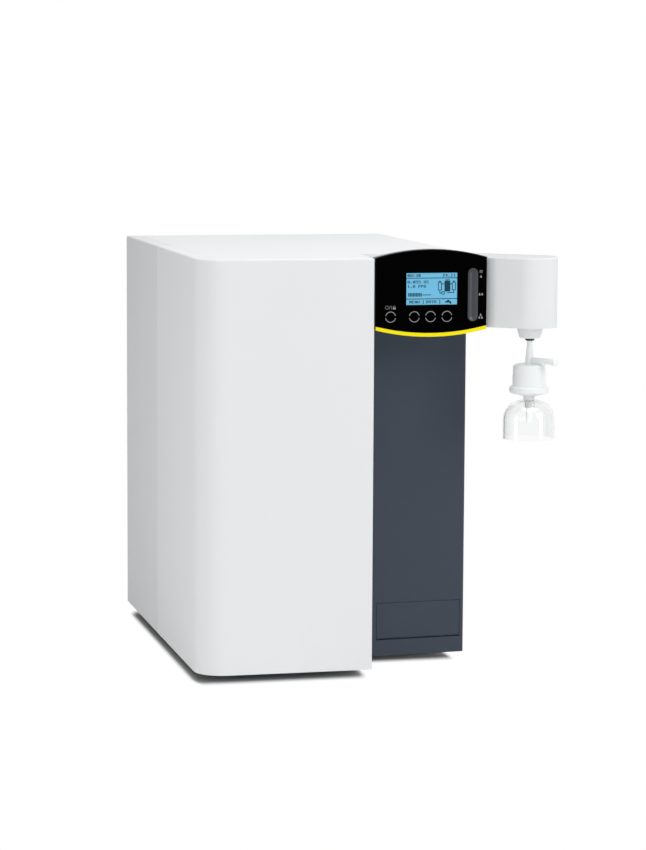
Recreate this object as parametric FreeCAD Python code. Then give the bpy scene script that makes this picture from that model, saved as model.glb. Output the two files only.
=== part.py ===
"""Bench ultrapure water system: housing, dispensing head, display and water path.

Millimetres.  While it is built, X = 0 is the left side, Y = 0 the front of the white
cover, Z = 0 the bench.  The finished pieces are moved so that the origin lies on the
bench under the middle of the whole machine: +X right, +Y to the rear, +Z up.
"""
import FreeCAD
import Part
import math
import os

V = FreeCAD.Vector
UP = V(0, 0, 1)
DOWN = V(0, 0, -1)
RIGHTWARD = V(1, 0, 0)
LEFTWARD = V(-1, 0, 0)
REARWARD = V(0, 1, 0)
FORWARD = V(0, -1, 0)

# ---------------------------------------------------------------- driving dimensions
BODY_WIDTH = 368.0
BODY_DEPTH = 538.0
BODY_TOP = 534.0
COVER_BOTTOM = 14.0
BLOCK_WIDTH = 222.5
COVER_CORNER = 36.0
COVER_SEAM_Y = 295.0
SETBACK_LEFT = 80.0
SETBACK_RIGHT = 90.0
ARM_ANGLE = 38.0
ARM_WIDTH = 68.0
NOZZLE_OUT = 59.0
NOZZLE_Y = 7.0
HEAD_HEIGHT = 89.0

# ---------------------------------------------------------------- housing sizes
SKIN = 3.0
SEAM = 0.4
FIT_GAP = 0.3
RUN_GAP = 0.05
RIM = 20.0
BOTTOM_LIP = 12.0
TOP_ROUND = 2.5
SIDE_ROUND = 2.5
RETURN_BACK = 76.0
REAR_INSET = 5.0
SHEET = 2.0
LIP_SHEET = 2.0
TRAY_BOTTOM = 18.0
TRAY_HEIGHT = 12.0
FOOT_RADIUS = 16.0
FOOT_INSET = 42.0
FOOT_SETBACK = 80.0
FOOT_SCREW_RADIUS = 2.0
BULKHEAD_INSET = 4.5
JAMB_WIDTH = 20.0
STUD_RADIUS = 3.0
STUD_LENGTH = 12.0
STUD_LOW = 120.0
STUD_BELOW_TOP = 104.0
STUD_HEAD_RADIUS = 3.5
SOCKET_WIDTH = 17.0
SOCKET_HEIGHT = 16.0
SOCKET_DEPTH = 13.0
JOGGLE_ROOM = 12.0

# ---------------------------------------------------------------- column sizes
COLUMN_SKIN = 2.5
COLUMN_ROUND = 4.0
COLUMN_RETURN = 14.0
FLAP_BOTTOM = 35.0
FLAP_TOP = 82.5
FLAP_LEFT = 26.0
FLAP_RIGHT = 139.0
FLAP_GAP = 0.5
FLAP_SKIN = 2.5
FLAP_BEAD = 3.5
SEAM_GROOVE = 1.6
PEG_RADIUS = 1.8
PEG_LENGTH = 1.7
NICHE_DEPTH = 46.0
NICHE_WALL = 2.0
PORT_X = 66.0
PORT_BORE = 5.0
PORT_OUTER = 8.0
PORT_FLANGE = 13.0
PORT_LENGTH = 16.0
PLUG_RADIUS = 11.0
PLUG_LENGTH = 14.0

# ---------------------------------------------------------------- head and display
HEAD_SKIN = 3.0
HEAD_FRONT = 16.0
PLATE_SKIN = 2.5
PLATE_INSET = 1.5
GLASS_MARGIN = 0.9
GLASS_FRONT = -1.0
GLASS_THICK = 3.0
GLASS_CORNER = 2.0
GLASS_BEVEL = 0.4
GLASS_HEIGHT = 85.0
GLASS_DROP = 0.5
GLASS_ARCH = 10.1
GLASS_BELLY = 8.8
STRIP_HEIGHT = 4.7
HOOD_EDGE = 0.8
HOOD_SKIN = 2.5
HOOD_GAP = 0.3
HOOD_ROUND = 3.0
SCREEN_FROM_LEFT = 38.7
SCREEN_TO_GROOVE = 13.8
SCREEN_BELOW_TOP = 19.0
SCREEN_HEIGHT = 40.0
SCREEN_SINK = 0.4
SCREEN_BORDER = 5.0
SCREEN_DEPTH = 7.0
GROOVE_FROM_RIGHT = 17.9
GROOVE_BELOW_TOP = 46.9
GROOVE_WIDTH = 13.4
GROOVE_HEIGHT = 67.0
GROOVE_DEPTH = 1.7
KEY_BELOW_TOP = 73.7
KEYS_FROM_LEFT = (18.7, 49.3, 70.3, 91.5)
KEY_RADIUS = 6.0
BOARD_THICK = 1.6

# ---------------------------------------------------------------- nozzle and final filter
COLLAR_RADIUS = 15.9
COLLAR_TIP_RADIUS = 12.5
COLLAR_STEP = 6.0
COLLAR_HEIGHT = 15.0
INSERT_RADIUS = 5.8
INSERT_BORE = 3.6
INSERT_RISE = 17.0
INSERT_DROP = 17.5
INSERT_LEDGE = 5.0
STEM_RADIUS = 3.3
STEM_INSIDE = 14.0
STEM_BASE_RADIUS = 5.6
STEM_LENGTH = 30.0
CAPSULE_RADIUS = 21.2
CAPSULE_WALL = 1.6
UPPER_HEIGHT = 16.5
LOWER_HEIGHT = 12.5
FLANGE_RADIUS = 25.2
FLANGE_HEIGHT = 7.5
BOWL_HEIGHT = 11.5
NECK_RADIUS = 7.0
NECK_HEIGHT = 5.0
OUTLET_RADIUS = 3.6
OUTLET_BORE = 2.2
OUTLET_LENGTH = 28.0
BRANCH_RISE = 5.0
BRANCH_ANGLE = 53.0
BRANCH_RADIUS = 3.8
BRANCH_LENGTH = 33.0
VENT_RADIUS = 5.0
VENT_LENGTH = 9.0
VENT_ROUND = 2.2
PLEAT_COUNT = 20
PLEAT_INNER = 9.5
PLEAT_OUTER = 17.5
PLEAT_HEIGHT = 17.0
BELL_GAP = 0.5
BELL_HEIGHT = 48.5
BELL_RADIUS = 32.8
BELL_DOME = 24.0
BELL_WALL = 1.8
BELL_HUB_RADIUS = 8.4
BELL_HUB_HEIGHT = 9.0

# ---------------------------------------------------------------- dispensing valve
VALVE_WIDTH = 24.0
VALVE_HEIGHT = 20.0
COIL_RADIUS = 12.0
COIL_HEIGHT = 30.0
HOSE_RADIUS = 3.2
HOSE_BORE = 2.0
HOSE_BEND = 16.0
HOSE_PASS_Y = 130.0
HOSE_PASS_DROP = 44.0
HOSE_GATE_INSET = 68.0

# ---------------------------------------------------------------- cartridges
CARTRIDGE_RADIUS = 43.0
CARTRIDGE_Y = 150.0
CARTRIDGE_NECK = 31.6
CARTRIDGE_GAP = 10.0
DOCK_BELOW_TOP = 98.0
DOCK_HEIGHT = 36.0
DOCK_DEPTH = 96.0
DOCK_FLANGE = 4.0
DOCK_FLANGE_RISE = 20.0
DOCK_ROUND = 12.0
RING_OUTER = 33.0
RING_HEIGHT = 16.0
LUG_OUTER = 26.5
LUG_INNER = 23.5
LUG_HEIGHT = 4.0
LUG_GAP = 0.4
TAB_HEIGHT = 2.5
SHELF_HEIGHT = 3.0

# ---------------------------------------------------------------- water path
RO_RADIUS = 38.0
RO_GAP = 15.0
RO_BOTTOM = 46.0
RO_BELOW_TOP = 138.0
RO_FOOT_RADIUS = 10.0
RO_PORT_RADIUS = 5.0
CLIP_SKIN = 3.0
CLIP_HEIGHT = 18.0
CLIP_FOOT = 5.0
CLIP_FOOT_WIDTH = 24.0
RO_CLIP_RISE = 60.0
RO_CLIP_DROP = 80.0
UV_CLIP_RISE = 50.0
UV_CLIP_DROP = 70.0
UV_RADIUS = 24.0
UV_TO_VALVES = 26.0
UV_BOTTOM = 130.0
UV_BELOW_TOP = 74.0
UV_FLANGE = 4.0
UV_FLANGE_HEIGHT = 6.0
UV_PORT_RADIUS = 5.0
LAMP_RADIUS = 8.0
LAMP_CAP_RADIUS = 14.0
LAMP_CAP_HEIGHT = 14.0
PUMP_X = 80.0
PUMP_RADIUS = 34.0
PUMP_GAP = 30.0
PUMP_PORT_REACH = 12.0
MOTOR_LENGTH = 88.0
PUMP_HEAD_LENGTH = 46.0
MOTOR_BELL = 8.0
TERMINAL_WIDTH = 28.0
TERMINAL_LENGTH = 40.0
TERMINAL_INSET = 24.0
TERMINAL_RISE = 8.0
PUMP_PORT_RADIUS = 6.0
PUMP_COVER = 10.0
CRADLE_HEIGHT = 14.0
CRADLE_WIDTH = 60.0
CRADLE_GRIP = 14.0
CRADLE_INSET = 10.0
CRADLE_TUNNEL_WIDTH = 28.0
CRADLE_TUNNEL_HEIGHT = 6.0
VALVE_BLOCK_Z = 70.0
VALVE_BLOCK_BEHIND = 93.0
VALVE_BLOCK_DEPTH = 24.0
VALVE_BLOCK_HEIGHT = 26.0
CELL_RADIUS = 9.0
CELL_LENGTH = 56.0
CELL_PITCH = 30.0
CELL_BEHIND_DOCK = 6.0
CELL_SPIGOT = 6.0
CELL_FOOT = 3.0
CELL_FOOT_WIDTH = 24.0
CELL_FOOT_HEIGHT = 14.0
GLAND_RADIUS = 4.0
GLAND_REACH = 6.0
SOLENOID_PITCH = 28.0
SOLENOID_COUNT = 3
SOLENOID_WIDTH = 22.0
SOLENOID_REACH = 30.0
SOLENOID_INSET = 2.0
SOLENOID_PLUG_WIDTH = 14.0
SOLENOID_PLUG_LENGTH = 16.0
SOLENOID_PLUG_RISE = 8.0
VALVE_BLOCK_CHAMFER = 2.0
REGULATOR_RADIUS = 17.0
REGULATOR_HEIGHT = 28.0
REGULATOR_STUB = 2.0
REGULATOR_PORT_RADIUS = 6.0
BONNET_RADIUS = 14.0
BONNET_TOP_RADIUS = 9.0
BONNET_HEIGHT = 30.0
PUMP_PORT_BACK = 18.0
RO_PORT_HEIGHT = 11.0
RO_PORT_SPACING = 16.0
UV_PORT_REACH = 12.0
UV_PORT_INSET = 20.0
REGULATOR_REACH = 8.0
TUBE_BEND = 12.0
TUBE_GAP = 0.3

# ---------------------------------------------------------------- electrics and rear
PSU_LEFT_GAP = 14.0
PSU_RIGHT_GAP = 33.0
PSU_DEPTH = 150.0
PSU_HEIGHT = 52.0
PSU_BEHIND = 83.0
PSU_SLOTS = 8
PSU_SLOT_PITCH = 12.0
PSU_SLOT_WIDTH = 4.0
PSU_SLOT_DEPTH = 2.0
PSU_SLOT_INSET = 14.0
PSU_SLOT_START = 20.0
BOARD_Y = 200.0
BOARD_LENGTH = 200.0
BOARD_Z = 230.0
BOARD_HEIGHT = 210.0
STANDOFF = 8.0
STANDOFF_RADIUS = 3.0
STANDOFF_INSET = 8.0
PROCESSOR_SIDE = 28.0
PROCESSOR_HEIGHT = 4.0
HEADER_INSET = 6.0
HEADER_WIDTH = 10.0
HEADER_HEIGHT = 12.0
HEADER_RISE = 30.0
HEADER_LENGTH = 80.0
TRANSFORMER_INSET = 30.0
TRANSFORMER_LENGTH = 30.0
TRANSFORMER_WIDTH = 26.0
TRANSFORMER_HEIGHT = 16.0
TRANSFORMER_RISE = 20.0
CAN_RADIUS = 7.0
CAN_HEIGHT = 22.0
CAN_COUNT = 3
CAN_PITCH = 18.0
CAN_INSET = 34.0
CAN_DROP = 40.0
FAN_SIZE = 80.0
FAN_DEPTH = 25.0
FAN_BELOW_TOP = 94.0
FAN_BORE = 37.0
FAN_HUB = 16.0
FAN_TIP = 35.5
FAN_BLADES = 7
ROTOR_SETBACK = 5.5
ROTOR_LENGTH = 17.0
ROTOR_BORE_DEPTH = 12.0
FAN_PIN_RADIUS = 2.0
BLADE_SETBACK = 14.0
BLADE_THICK = 1.4
BLADE_ROOT = (48.0, 12.0)
BLADE_TIP = (28.0, 19.0)
GUARD_WIRE = 1.0
GUARD_RINGS = 4
SLOT_COUNT = 9
SLOT_PITCH = 12.0
SLOT_LENGTH = 70.0
SLOT_HEIGHT = 4.0
SLOT_BELOW_FAN = 100.0
INLET_FROM_RIGHT = 50.0
INLET_Z = 84.0
SWITCH_FROM_RIGHT = 98.0
FITTING_BORE = 4.05
FITTING_RADIUS = 9.0
FITTING_DEPTH = 15.0
FITTING_LENGTH = 20.0
FITTING_NOSE = 1.0
FITTING_XS = (48.0, 88.0, 128.0)
FITTING_Z = 74.0
DATA_X = 180.0
INLET_BODY = (27.0, 38.0)
SWITCH_BODY = (19.0, 27.0)
DATA_BODY = (20.0, 12.0)
ROCKER_WIDTH = 13.0
ROCKER_HEIGHT = 20.0
ROCKER_PIVOT_DEPTH = 7.0
ROCKER_TILT = 8.0

# ---------------------------------------------------------------- planes worked out from these
HEAD_BOTTOM = BODY_TOP - HEAD_HEIGHT
TRAY_EDGE = TRAY_BOTTOM + TRAY_HEIGHT
BULKHEAD_X = BLOCK_WIDTH - BULKHEAD_INSET
COLUMN_LEFT = BLOCK_WIDTH + 0.6
REAR_PANEL_Y = BODY_DEPTH - REAR_INSET
INNER_TOP = BODY_TOP - SKIN
COLUMN_TILT = math.degrees(math.atan2(SETBACK_RIGHT - SETBACK_LEFT, BODY_WIDTH - COLUMN_LEFT))
ARM_RADIUS = ARM_WIDTH / 2
ARM_AXIS = V(math.cos(math.radians(ARM_ANGLE)), -math.sin(math.radians(ARM_ANGLE)), 0)
ARM_SIDE = V(-ARM_AXIS.y, ARM_AXIS.x, 0)
BRANCH_AXIS = V(math.cos(math.radians(BRANCH_ANGLE)), -math.sin(math.radians(BRANCH_ANGLE)), 0)
NOZZLE_X = BODY_WIDTH + NOZZLE_OUT
NOZZLE = V(NOZZLE_X, NOZZLE_Y, 0)
TRAY_TOP = TRAY_BOTTOM + SHEET
DOCK_XS = (BULKHEAD_X - SHEET - CARTRIDGE_GAP / 2 - 3 * CARTRIDGE_RADIUS - CARTRIDGE_GAP,
           BULKHEAD_X - SHEET - CARTRIDGE_GAP / 2 - CARTRIDGE_RADIUS)
STUD_ZS = (STUD_LOW, BODY_TOP - STUD_BELOW_TOP)
GLASS_LEFT = COLUMN_LEFT + GLASS_MARGIN
GLASS_RIGHT = BODY_WIDTH - GLASS_MARGIN
GLASS_TOP_SIDE = BODY_TOP - GLASS_DROP
GLASS_TOP_MID = GLASS_TOP_SIDE + GLASS_ARCH
GLASS_BOTTOM_SIDE = GLASS_TOP_SIDE - GLASS_HEIGHT
GLASS_BOTTOM_MID = GLASS_BOTTOM_SIDE - GLASS_BELLY
GROOVE_X = GLASS_RIGHT - GROOVE_FROM_RIGHT
GROOVE_Z = BODY_TOP - GROOVE_BELOW_TOP
SCREEN_LEFT = GLASS_LEFT + SCREEN_FROM_LEFT
SCREEN_WIDTH = GROOVE_X - GROOVE_WIDTH / 2 - SCREEN_TO_GROOVE - SCREEN_LEFT
SCREEN_BOTTOM = BODY_TOP - SCREEN_BELOW_TOP - SCREEN_HEIGHT
KEY_Z = BODY_TOP - KEY_BELOW_TOP
KEY_XS = tuple(GLASS_LEFT + offset for offset in KEYS_FROM_LEFT)
INSERT_TOP = HEAD_BOTTOM + INSERT_RISE
INSERT_BOTTOM = HEAD_BOTTOM - INSERT_DROP
CAPSULE_TOP = INSERT_BOTTOM - STEM_LENGTH
WELD_Z = CAPSULE_TOP - UPPER_HEIGHT
FLANGE_Z = WELD_Z - LOWER_HEIGHT
BOWL_BOTTOM = FLANGE_Z - BOWL_HEIGHT
NECK_LOW = BOWL_BOTTOM - NECK_HEIGHT
OUTLET_TIP = NECK_LOW - OUTLET_LENGTH
BRANCH_Z = CAPSULE_TOP + BRANCH_RISE
BELL_TOP = NECK_LOW - BELL_GAP
BELL_BOTTOM = BELL_TOP - BELL_HEIGHT
HOSE_PASS_Z = BODY_TOP - HOSE_PASS_DROP
HOSE_GATE_X = BODY_WIDTH - HOSE_GATE_INSET
RING_BORE = LUG_OUTER + LUG_GAP
DOCK_BOTTOM = BODY_TOP - DOCK_BELOW_TOP - DOCK_HEIGHT
DOCK_TOP = DOCK_BOTTOM + DOCK_HEIGHT
CARTRIDGE_BOTTOM = TRAY_TOP + SHELF_HEIGHT + LUG_GAP
CARTRIDGE_SHOULDER = DOCK_BOTTOM - CARTRIDGE_NECK
RO_Y = CARTRIDGE_Y + CARTRIDGE_RADIUS + RO_GAP + RO_RADIUS
RO_TOP = BODY_TOP - RO_BELOW_TOP
VALVE_BLOCK_Y = REAR_PANEL_Y - VALVE_BLOCK_BEHIND
VALVE_BLOCK_HALF = SOLENOID_PITCH * SOLENOID_COUNT / 2
UV_Y = VALVE_BLOCK_Y - VALVE_BLOCK_HALF - UV_TO_VALVES
UV_TOP = BODY_TOP - UV_BELOW_TOP
REGULATOR_Y = (REAR_PANEL_Y - FITTING_DEPTH - FITTING_NOSE - TUBE_GAP - REGULATOR_RADIUS
               - REGULATOR_STUB)
PUMP_FRONT = (REGULATOR_Y - REGULATOR_RADIUS - REGULATOR_REACH - PUMP_GAP - MOTOR_LENGTH
              - MOTOR_BELL - PUMP_HEAD_LENGTH)
PSU_LEFT = BULKHEAD_X + PSU_LEFT_GAP
PSU_RIGHT = BODY_WIDTH - SKIN - PSU_RIGHT_GAP
PSU_Y = REAR_PANEL_Y - PSU_BEHIND - PSU_DEPTH
FAN_X = (BULKHEAD_X + BODY_WIDTH - SKIN) / 2
FAN_Z = BODY_TOP - FAN_BELOW_TOP
SLOT_Z = FAN_Z - FAN_SIZE / 2 - SLOT_BELOW_FAN
INLET_X = BODY_WIDTH - INLET_FROM_RIGHT
SWITCH_X = BODY_WIDTH - SWITCH_FROM_RIGHT
VENT_END = BRANCH_LENGTH + VENT_LENGTH - VENT_ROUND
VENT_REACH = VENT_END * BRANCH_AXIS.x - (VENT_RADIUS - VENT_ROUND) * BRANCH_AXIS.y + VENT_ROUND
VENT_FRONT = VENT_END * BRANCH_AXIS.y - (VENT_RADIUS - VENT_ROUND) * BRANCH_AXIS.x - VENT_ROUND
FAR_RIGHT = NOZZLE_X + max(VENT_REACH, ARM_RADIUS)
NOSE_FRONT = NOZZLE_Y + min(VENT_FRONT, -ARM_RADIUS)
FITTING_END = REAR_PANEL_Y + SHEET + FITTING_LENGTH
ORIGIN = V(FAR_RIGHT / 2, (NOSE_FRONT + FITTING_END) / 2, 0)

parts = {}


# ---------------------------------------------------------------- shape helpers
def block(x0, x1, y0, y1, z0, z1):
    """Box between two corners."""
    return Part.makeBox(x1 - x0, y1 - y0, z1 - z0, V(x0, y0, z0))


def rod(radius, start, direction, length):
    """Cylinder from its start along a direction."""
    return Part.makeCylinder(radius, length, start, direction)


def pipe(outer, inner, start, direction, length):
    """Straight tube with a bore."""
    return rod(outer, start, direction, length).cut(rod(inner, start, direction, length))


def lathe(profile, at):
    """Solid turned about the vertical axis through a point, from (radius, height) points."""
    points = [V(radius, 0, height) for radius, height in profile]
    face = Part.Face(Part.makePolygon(points + points[:1]))
    solid = face.revolve(V(0, 0, 0), UP, 360)
    solid.translate(V(at.x, at.y, 0))
    return solid


def prism(points, z0, z1):
    """Upright prism over a closed outline of (x, y) points."""
    corners = [V(x, y, z0) for x, y in points]
    face = Part.Face(Part.makePolygon(corners + corners[:1]))
    return face.extrude(V(0, 0, z1 - z0))


def join(*shapes):
    """Fuse shapes into one and clean the seams between flat faces."""
    return shapes[0].multiFuse(list(shapes[1:])).removeSplitter()


def carve(shape, *tools):
    """Cut all the tools out of a shape."""
    return shape.cut(list(tools)).removeSplitter()


def round_upright(shape, radius, *corners):
    """Round the vertical edges that stand at the given (x, y) corners."""
    def stands(edge):
        spots = [vertex.Point for vertex in edge.Vertexes]
        if len(spots) != 2 or (spots[0] - spots[1]).cross(UP).Length > 1e-6:
            return False
        return any(math.hypot(spots[0].x - x, spots[0].y - y) < 1e-3 for x, y in corners)
    return shape.makeFillet(radius, [edge for edge in shape.Edges if stands(edge)])


def edges_at(shape, z):
    """Edges that lie wholly at one height."""
    def level(edge):
        box = edge.BoundBox
        return abs(box.ZMin - z) < 1e-4 and abs(box.ZMax - z) < 1e-4
    return [edge for edge in shape.Edges if level(edge)]


def bend(points, radius):
    """Path of straight runs joined by arcs tangent to both; a straight-through point is passed."""
    edges = []
    start = points[0]
    for before, corner, after in zip(points, points[1:], points[2:]):
        arrive = (corner - before).normalize()
        leave = (after - corner).normalize()
        half_turn = arrive.getAngle(leave) / 2
        if half_turn < 0.01:
            continue
        reach = radius * math.tan(half_turn)
        enter = corner - arrive * reach
        exit_point = corner + leave * reach
        inward = (leave - arrive).normalize()
        middle = corner + inward * (radius / math.cos(half_turn) - radius)
        edges.append(Part.LineSegment(start, enter).toShape())
        edges.append(Part.Arc(enter, middle, exit_point).toShape())
        start = exit_point
    edges.append(Part.LineSegment(start, points[-1]).toShape())
    return Part.Wire(edges)


def hose(points, outer, inner, radius):
    """Tube swept along a path with rounded bends."""
    path = bend(points, radius)
    direction = points[1] - points[0]
    rings = [Part.Wire(Part.makeCircle(size, points[0], direction)) for size in (outer, inner)]
    outside, bore = [path.makePipeShell([ring], True, True) for ring in rings]
    return outside.cut(bore)


def keep(name, shape):
    """Add a finished piece, moved to the machine's own origin."""
    placed = shape.copy()
    placed.translate(-ORIGIN)
    parts[name] = placed


# ---------------------------------------------------------------- covers
def cover_outline(inset, front_right, back):
    """Face of the block's plan, pulled in by an inset, with its round front-left corner."""
    radius = COVER_CORNER - inset
    swing = radius * (1 - math.sqrt(0.5))
    left_end = V(inset, inset + radius, 0)
    middle = V(inset + swing, inset + swing, 0)
    front_end = V(inset + radius, inset, 0)
    runs = [V(front_right, inset, 0), V(front_right, back, 0), V(inset, back, 0), left_end]
    edges = [Part.Arc(left_end, middle, front_end).toShape()]
    for start, end in zip([front_end] + runs, runs):
        edges.append(Part.LineSegment(start, end).toShape())
    return Part.Face(Part.Wire(edges))


def cover_solid(inset, front_right, back, z0, z1):
    """Upright solid on the block's plan."""
    face = cover_outline(inset, front_right, back)
    face.translate(V(0, 0, z0))
    return face.extrude(V(0, 0, z1 - z0))


def front_cover():
    """White cover round the left front: side, corner, front and return wall, with its rim."""
    far = COVER_SEAM_Y + 50
    outer = cover_solid(0, BLOCK_WIDTH, COVER_SEAM_Y, COVER_BOTTOM, BODY_TOP)
    outer = round_upright(outer, SIDE_ROUND, (BLOCK_WIDTH, 0))
    edges = [edge for edge in edges_at(outer, BODY_TOP) if edge.BoundBox.YMin < COVER_SEAM_Y - 1
             and edge.BoundBox.XMin < BLOCK_WIDTH - SIDE_ROUND]
    outer = outer.makeFillet(TOP_ROUND, edges)
    inside = cover_solid(SKIN, BLOCK_WIDTH - SKIN, far, COVER_BOTTOM + SKIN, INNER_TOP)
    mouth = cover_solid(RIM, BLOCK_WIDTH + SKIN, far, INNER_TOP - SEAM, BODY_TOP + SKIN)
    floor = cover_solid(BOTTOM_LIP, BLOCK_WIDTH - SKIN, far, 0, COVER_BOTTOM + 2 * SKIN)
    behind = block(BLOCK_WIDTH - 2 * SKIN, BLOCK_WIDTH + SKIN, RETURN_BACK, far, 0, BODY_TOP + SKIN)
    shell = carve(outer, inside, mouth, floor, behind)
    sockets = [snap_socket(x, y, z) for x, y in socket_places() for z in STUD_ZS]
    return join(shell, *sockets)


def socket_places():
    """Corner (x, y) of each snap socket on the cover: on its left side and return wall."""
    left = (SKIN - 0.5, COVER_SEAM_Y - SOCKET_DEPTH - JOGGLE_ROOM)
    right = (BLOCK_WIDTH - SKIN + 0.5 - SOCKET_WIDTH, RETURN_BACK - SOCKET_DEPTH)
    return left, right


def snap_socket(x, y, z):
    """Block on the cover's inside that clips on to one stud."""
    body = block(x, x + SOCKET_WIDTH, y, y + SOCKET_DEPTH, z - SOCKET_HEIGHT / 2, z + SOCKET_HEIGHT / 2)
    centre = V(x + SOCKET_WIDTH / 2, y, z)
    return body.cut(rod(STUD_RADIUS + FIT_GAP, centre, REARWARD, SOCKET_DEPTH))


def cover_studs():
    """Four studs that stand forward from the post and the jamb into the cover's sockets."""
    studs = []
    for x, y in socket_places():
        root = y + SOCKET_DEPTH + FIT_GAP + SHEET
        for z in STUD_ZS:
            foot = V(x + SOCKET_WIDTH / 2, root, z)
            shank = rod(STUD_RADIUS - 1, foot, FORWARD, STUD_LENGTH + SHEET)
            ball = Part.makeSphere(STUD_RADIUS, foot + FORWARD * (STUD_LENGTH - STUD_RADIUS))
            head = rod(STUD_HEAD_RADIUS, foot, REARWARD, 2)
            studs.append(join(shank, ball, head))
    return Part.makeCompound(studs)


def stud_holes(x, y):
    """Clearance holes for the studs in the sheet behind one pair of sockets."""
    centre_x = x + SOCKET_WIDTH / 2
    start = y + SOCKET_DEPTH
    return [rod(STUD_RADIUS - 1 + RUN_GAP, V(centre_x, start, z), REARWARD, 4 * SHEET) for z in STUD_ZS]


def left_post():
    """Folded post on the tray that backs the cover's rear edge on the left."""
    x, y = socket_places()[0]
    front = y + SOCKET_DEPTH + FIT_GAP
    left = SKIN + LIP_SHEET + FIT_GAP
    face = block(left, left + JAMB_WIDTH, front, front + SHEET, TRAY_TOP, INNER_TOP)
    side = block(left, left + SHEET, front, COVER_SEAM_Y + 2 * JAMB_WIDTH, TRAY_TOP, INNER_TOP)
    return carve(join(face, side), *stud_holes(x, y))


def left_rear_panel():
    """Fixed rear part of the left side, with its rim and the lip behind the seam."""
    front = COVER_SEAM_Y + SEAM
    outer = block(0, RIM, front, BODY_DEPTH, COVER_BOTTOM, BODY_TOP)
    edge = [one for one in edges_at(outer, BODY_TOP) if one.BoundBox.XMax < 1e-3]
    outer = outer.makeFillet(TOP_ROUND, edge)
    inside = block(SKIN, RIM + 1, 0, BODY_DEPTH + 1, COVER_BOTTOM + SKIN, INNER_TOP)
    floor = block(BOTTOM_LIP, RIM + 1, 0, BODY_DEPTH + 1, 0, COVER_BOTTOM + 2 * SKIN)
    shell = outer.cut([inside, floor])
    lip_left = SKIN + FIT_GAP
    lip = block(lip_left, lip_left + LIP_SHEET - FIT_GAP, front - JAMB_WIDTH / 2, front + JAMB_WIDTH / 2,
                TRAY_EDGE + FIT_GAP, INNER_TOP - SKIN)
    pad = block(SKIN - 0.5, lip_left + LIP_SHEET - FIT_GAP, front, front + JAMB_WIDTH / 2,
                TRAY_EDGE + FIT_GAP, INNER_TOP - SKIN)
    return join(shell, lip, pad)


def right_panel():
    """White right side, under the top panel's edge and behind the column's return."""
    front = SETBACK_RIGHT + COLUMN_RETURN + SEAM
    side = block(BODY_WIDTH - SKIN, BODY_WIDTH, front, BODY_DEPTH, COVER_BOTTOM, INNER_TOP)
    lip = block(BODY_WIDTH - SKIN - BOTTOM_LIP, BODY_WIDTH, front, BODY_DEPTH,
                COVER_BOTTOM, COVER_BOTTOM + SKIN)
    return join(side, lip)


def column_line(x, back=0.0):
    """Y of the column's front plane at x, moved rearward square to the plane."""
    slope = math.tan(math.radians(COLUMN_TILT))
    return SETBACK_LEFT + (x - COLUMN_LEFT) * slope + back / math.cos(math.radians(COLUMN_TILT))


def top_panel():
    """Inset top panel inside the rim, reaching the right side and the column's face."""
    left = RIM + SEAM
    front = RIM + SEAM
    step = COLUMN_LEFT - SEAM
    outline = [(left, front), (step, front), (step, column_line(step)), (BODY_WIDTH, column_line(BODY_WIDTH)),
               (BODY_WIDTH, BODY_DEPTH), (left, BODY_DEPTH)]
    plate = prism(outline, INNER_TOP, BODY_TOP)
    plate = round_upright(plate, COVER_CORNER - RIM, (left, front))
    edges = [edge for edge in edges_at(plate, BODY_TOP) if edge.BoundBox.XMin > BODY_WIDTH - 1]
    plate = plate.makeFillet(TOP_ROUND, edges)
    hem = SHEET
    far = REAR_PANEL_Y - 4 * SHEET
    ribs = [block(left + 10, BULKHEAD_X - 4 * SHEET, y, y + hem, INNER_TOP - 8, INNER_TOP)
            for y in (COVER_SEAM_Y - 140, COVER_SEAM_Y + 40, far)]
    return join(plate, *ribs)


# ---------------------------------------------------------------- chassis
def tray_outline(inset):
    """Plan of the tray, stepped back beside the block to follow the column."""
    left = SKIN + FIT_GAP + inset
    right = BODY_WIDTH - SKIN - FIT_GAP - inset
    step = BLOCK_WIDTH - SKIN - FIT_GAP - inset
    back = REAR_PANEL_Y - FIT_GAP - inset
    front = SKIN + FIT_GAP + inset
    room = COLUMN_SKIN + FIT_GAP + inset
    return [(left, COVER_CORNER), (COVER_CORNER, front), (step, front), (step, column_line(step, room)),
            (right, column_line(right, room)), (right, back), (left, back)]


def base_tray():
    """Folded sheet tray that carries the whole machine, with a shallow upstand all round."""
    outer = prism(tray_outline(0), TRAY_BOTTOM, TRAY_BOTTOM + TRAY_HEIGHT)
    inner = prism(tray_outline(SHEET), TRAY_TOP, TRAY_BOTTOM + TRAY_HEIGHT + 1)
    holes = [rod(FOOT_SCREW_RADIUS + FIT_GAP, V(x, y, 0), UP, TRAY_TOP + 1) for x, y in foot_places()]
    shelf = block(DOCK_XS[0] - CARTRIDGE_RADIUS + 6, DOCK_XS[1] + CARTRIDGE_RADIUS - 6,
                  CARTRIDGE_Y - CARTRIDGE_RADIUS + 6, CARTRIDGE_Y + CARTRIDGE_RADIUS - 6,
                  TRAY_BOTTOM, TRAY_TOP + SHELF_HEIGHT)
    return join(carve(outer, inner, *holes), shelf)


def foot_places():
    """Centre (x, y) of each foot."""
    back = BODY_DEPTH - FOOT_INSET
    right = BODY_WIDTH - FOOT_INSET
    return ((FOOT_INSET, FOOT_SETBACK), (right, SETBACK_RIGHT + FOOT_SETBACK), (right, back),
            (FOOT_INSET, back))


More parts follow.
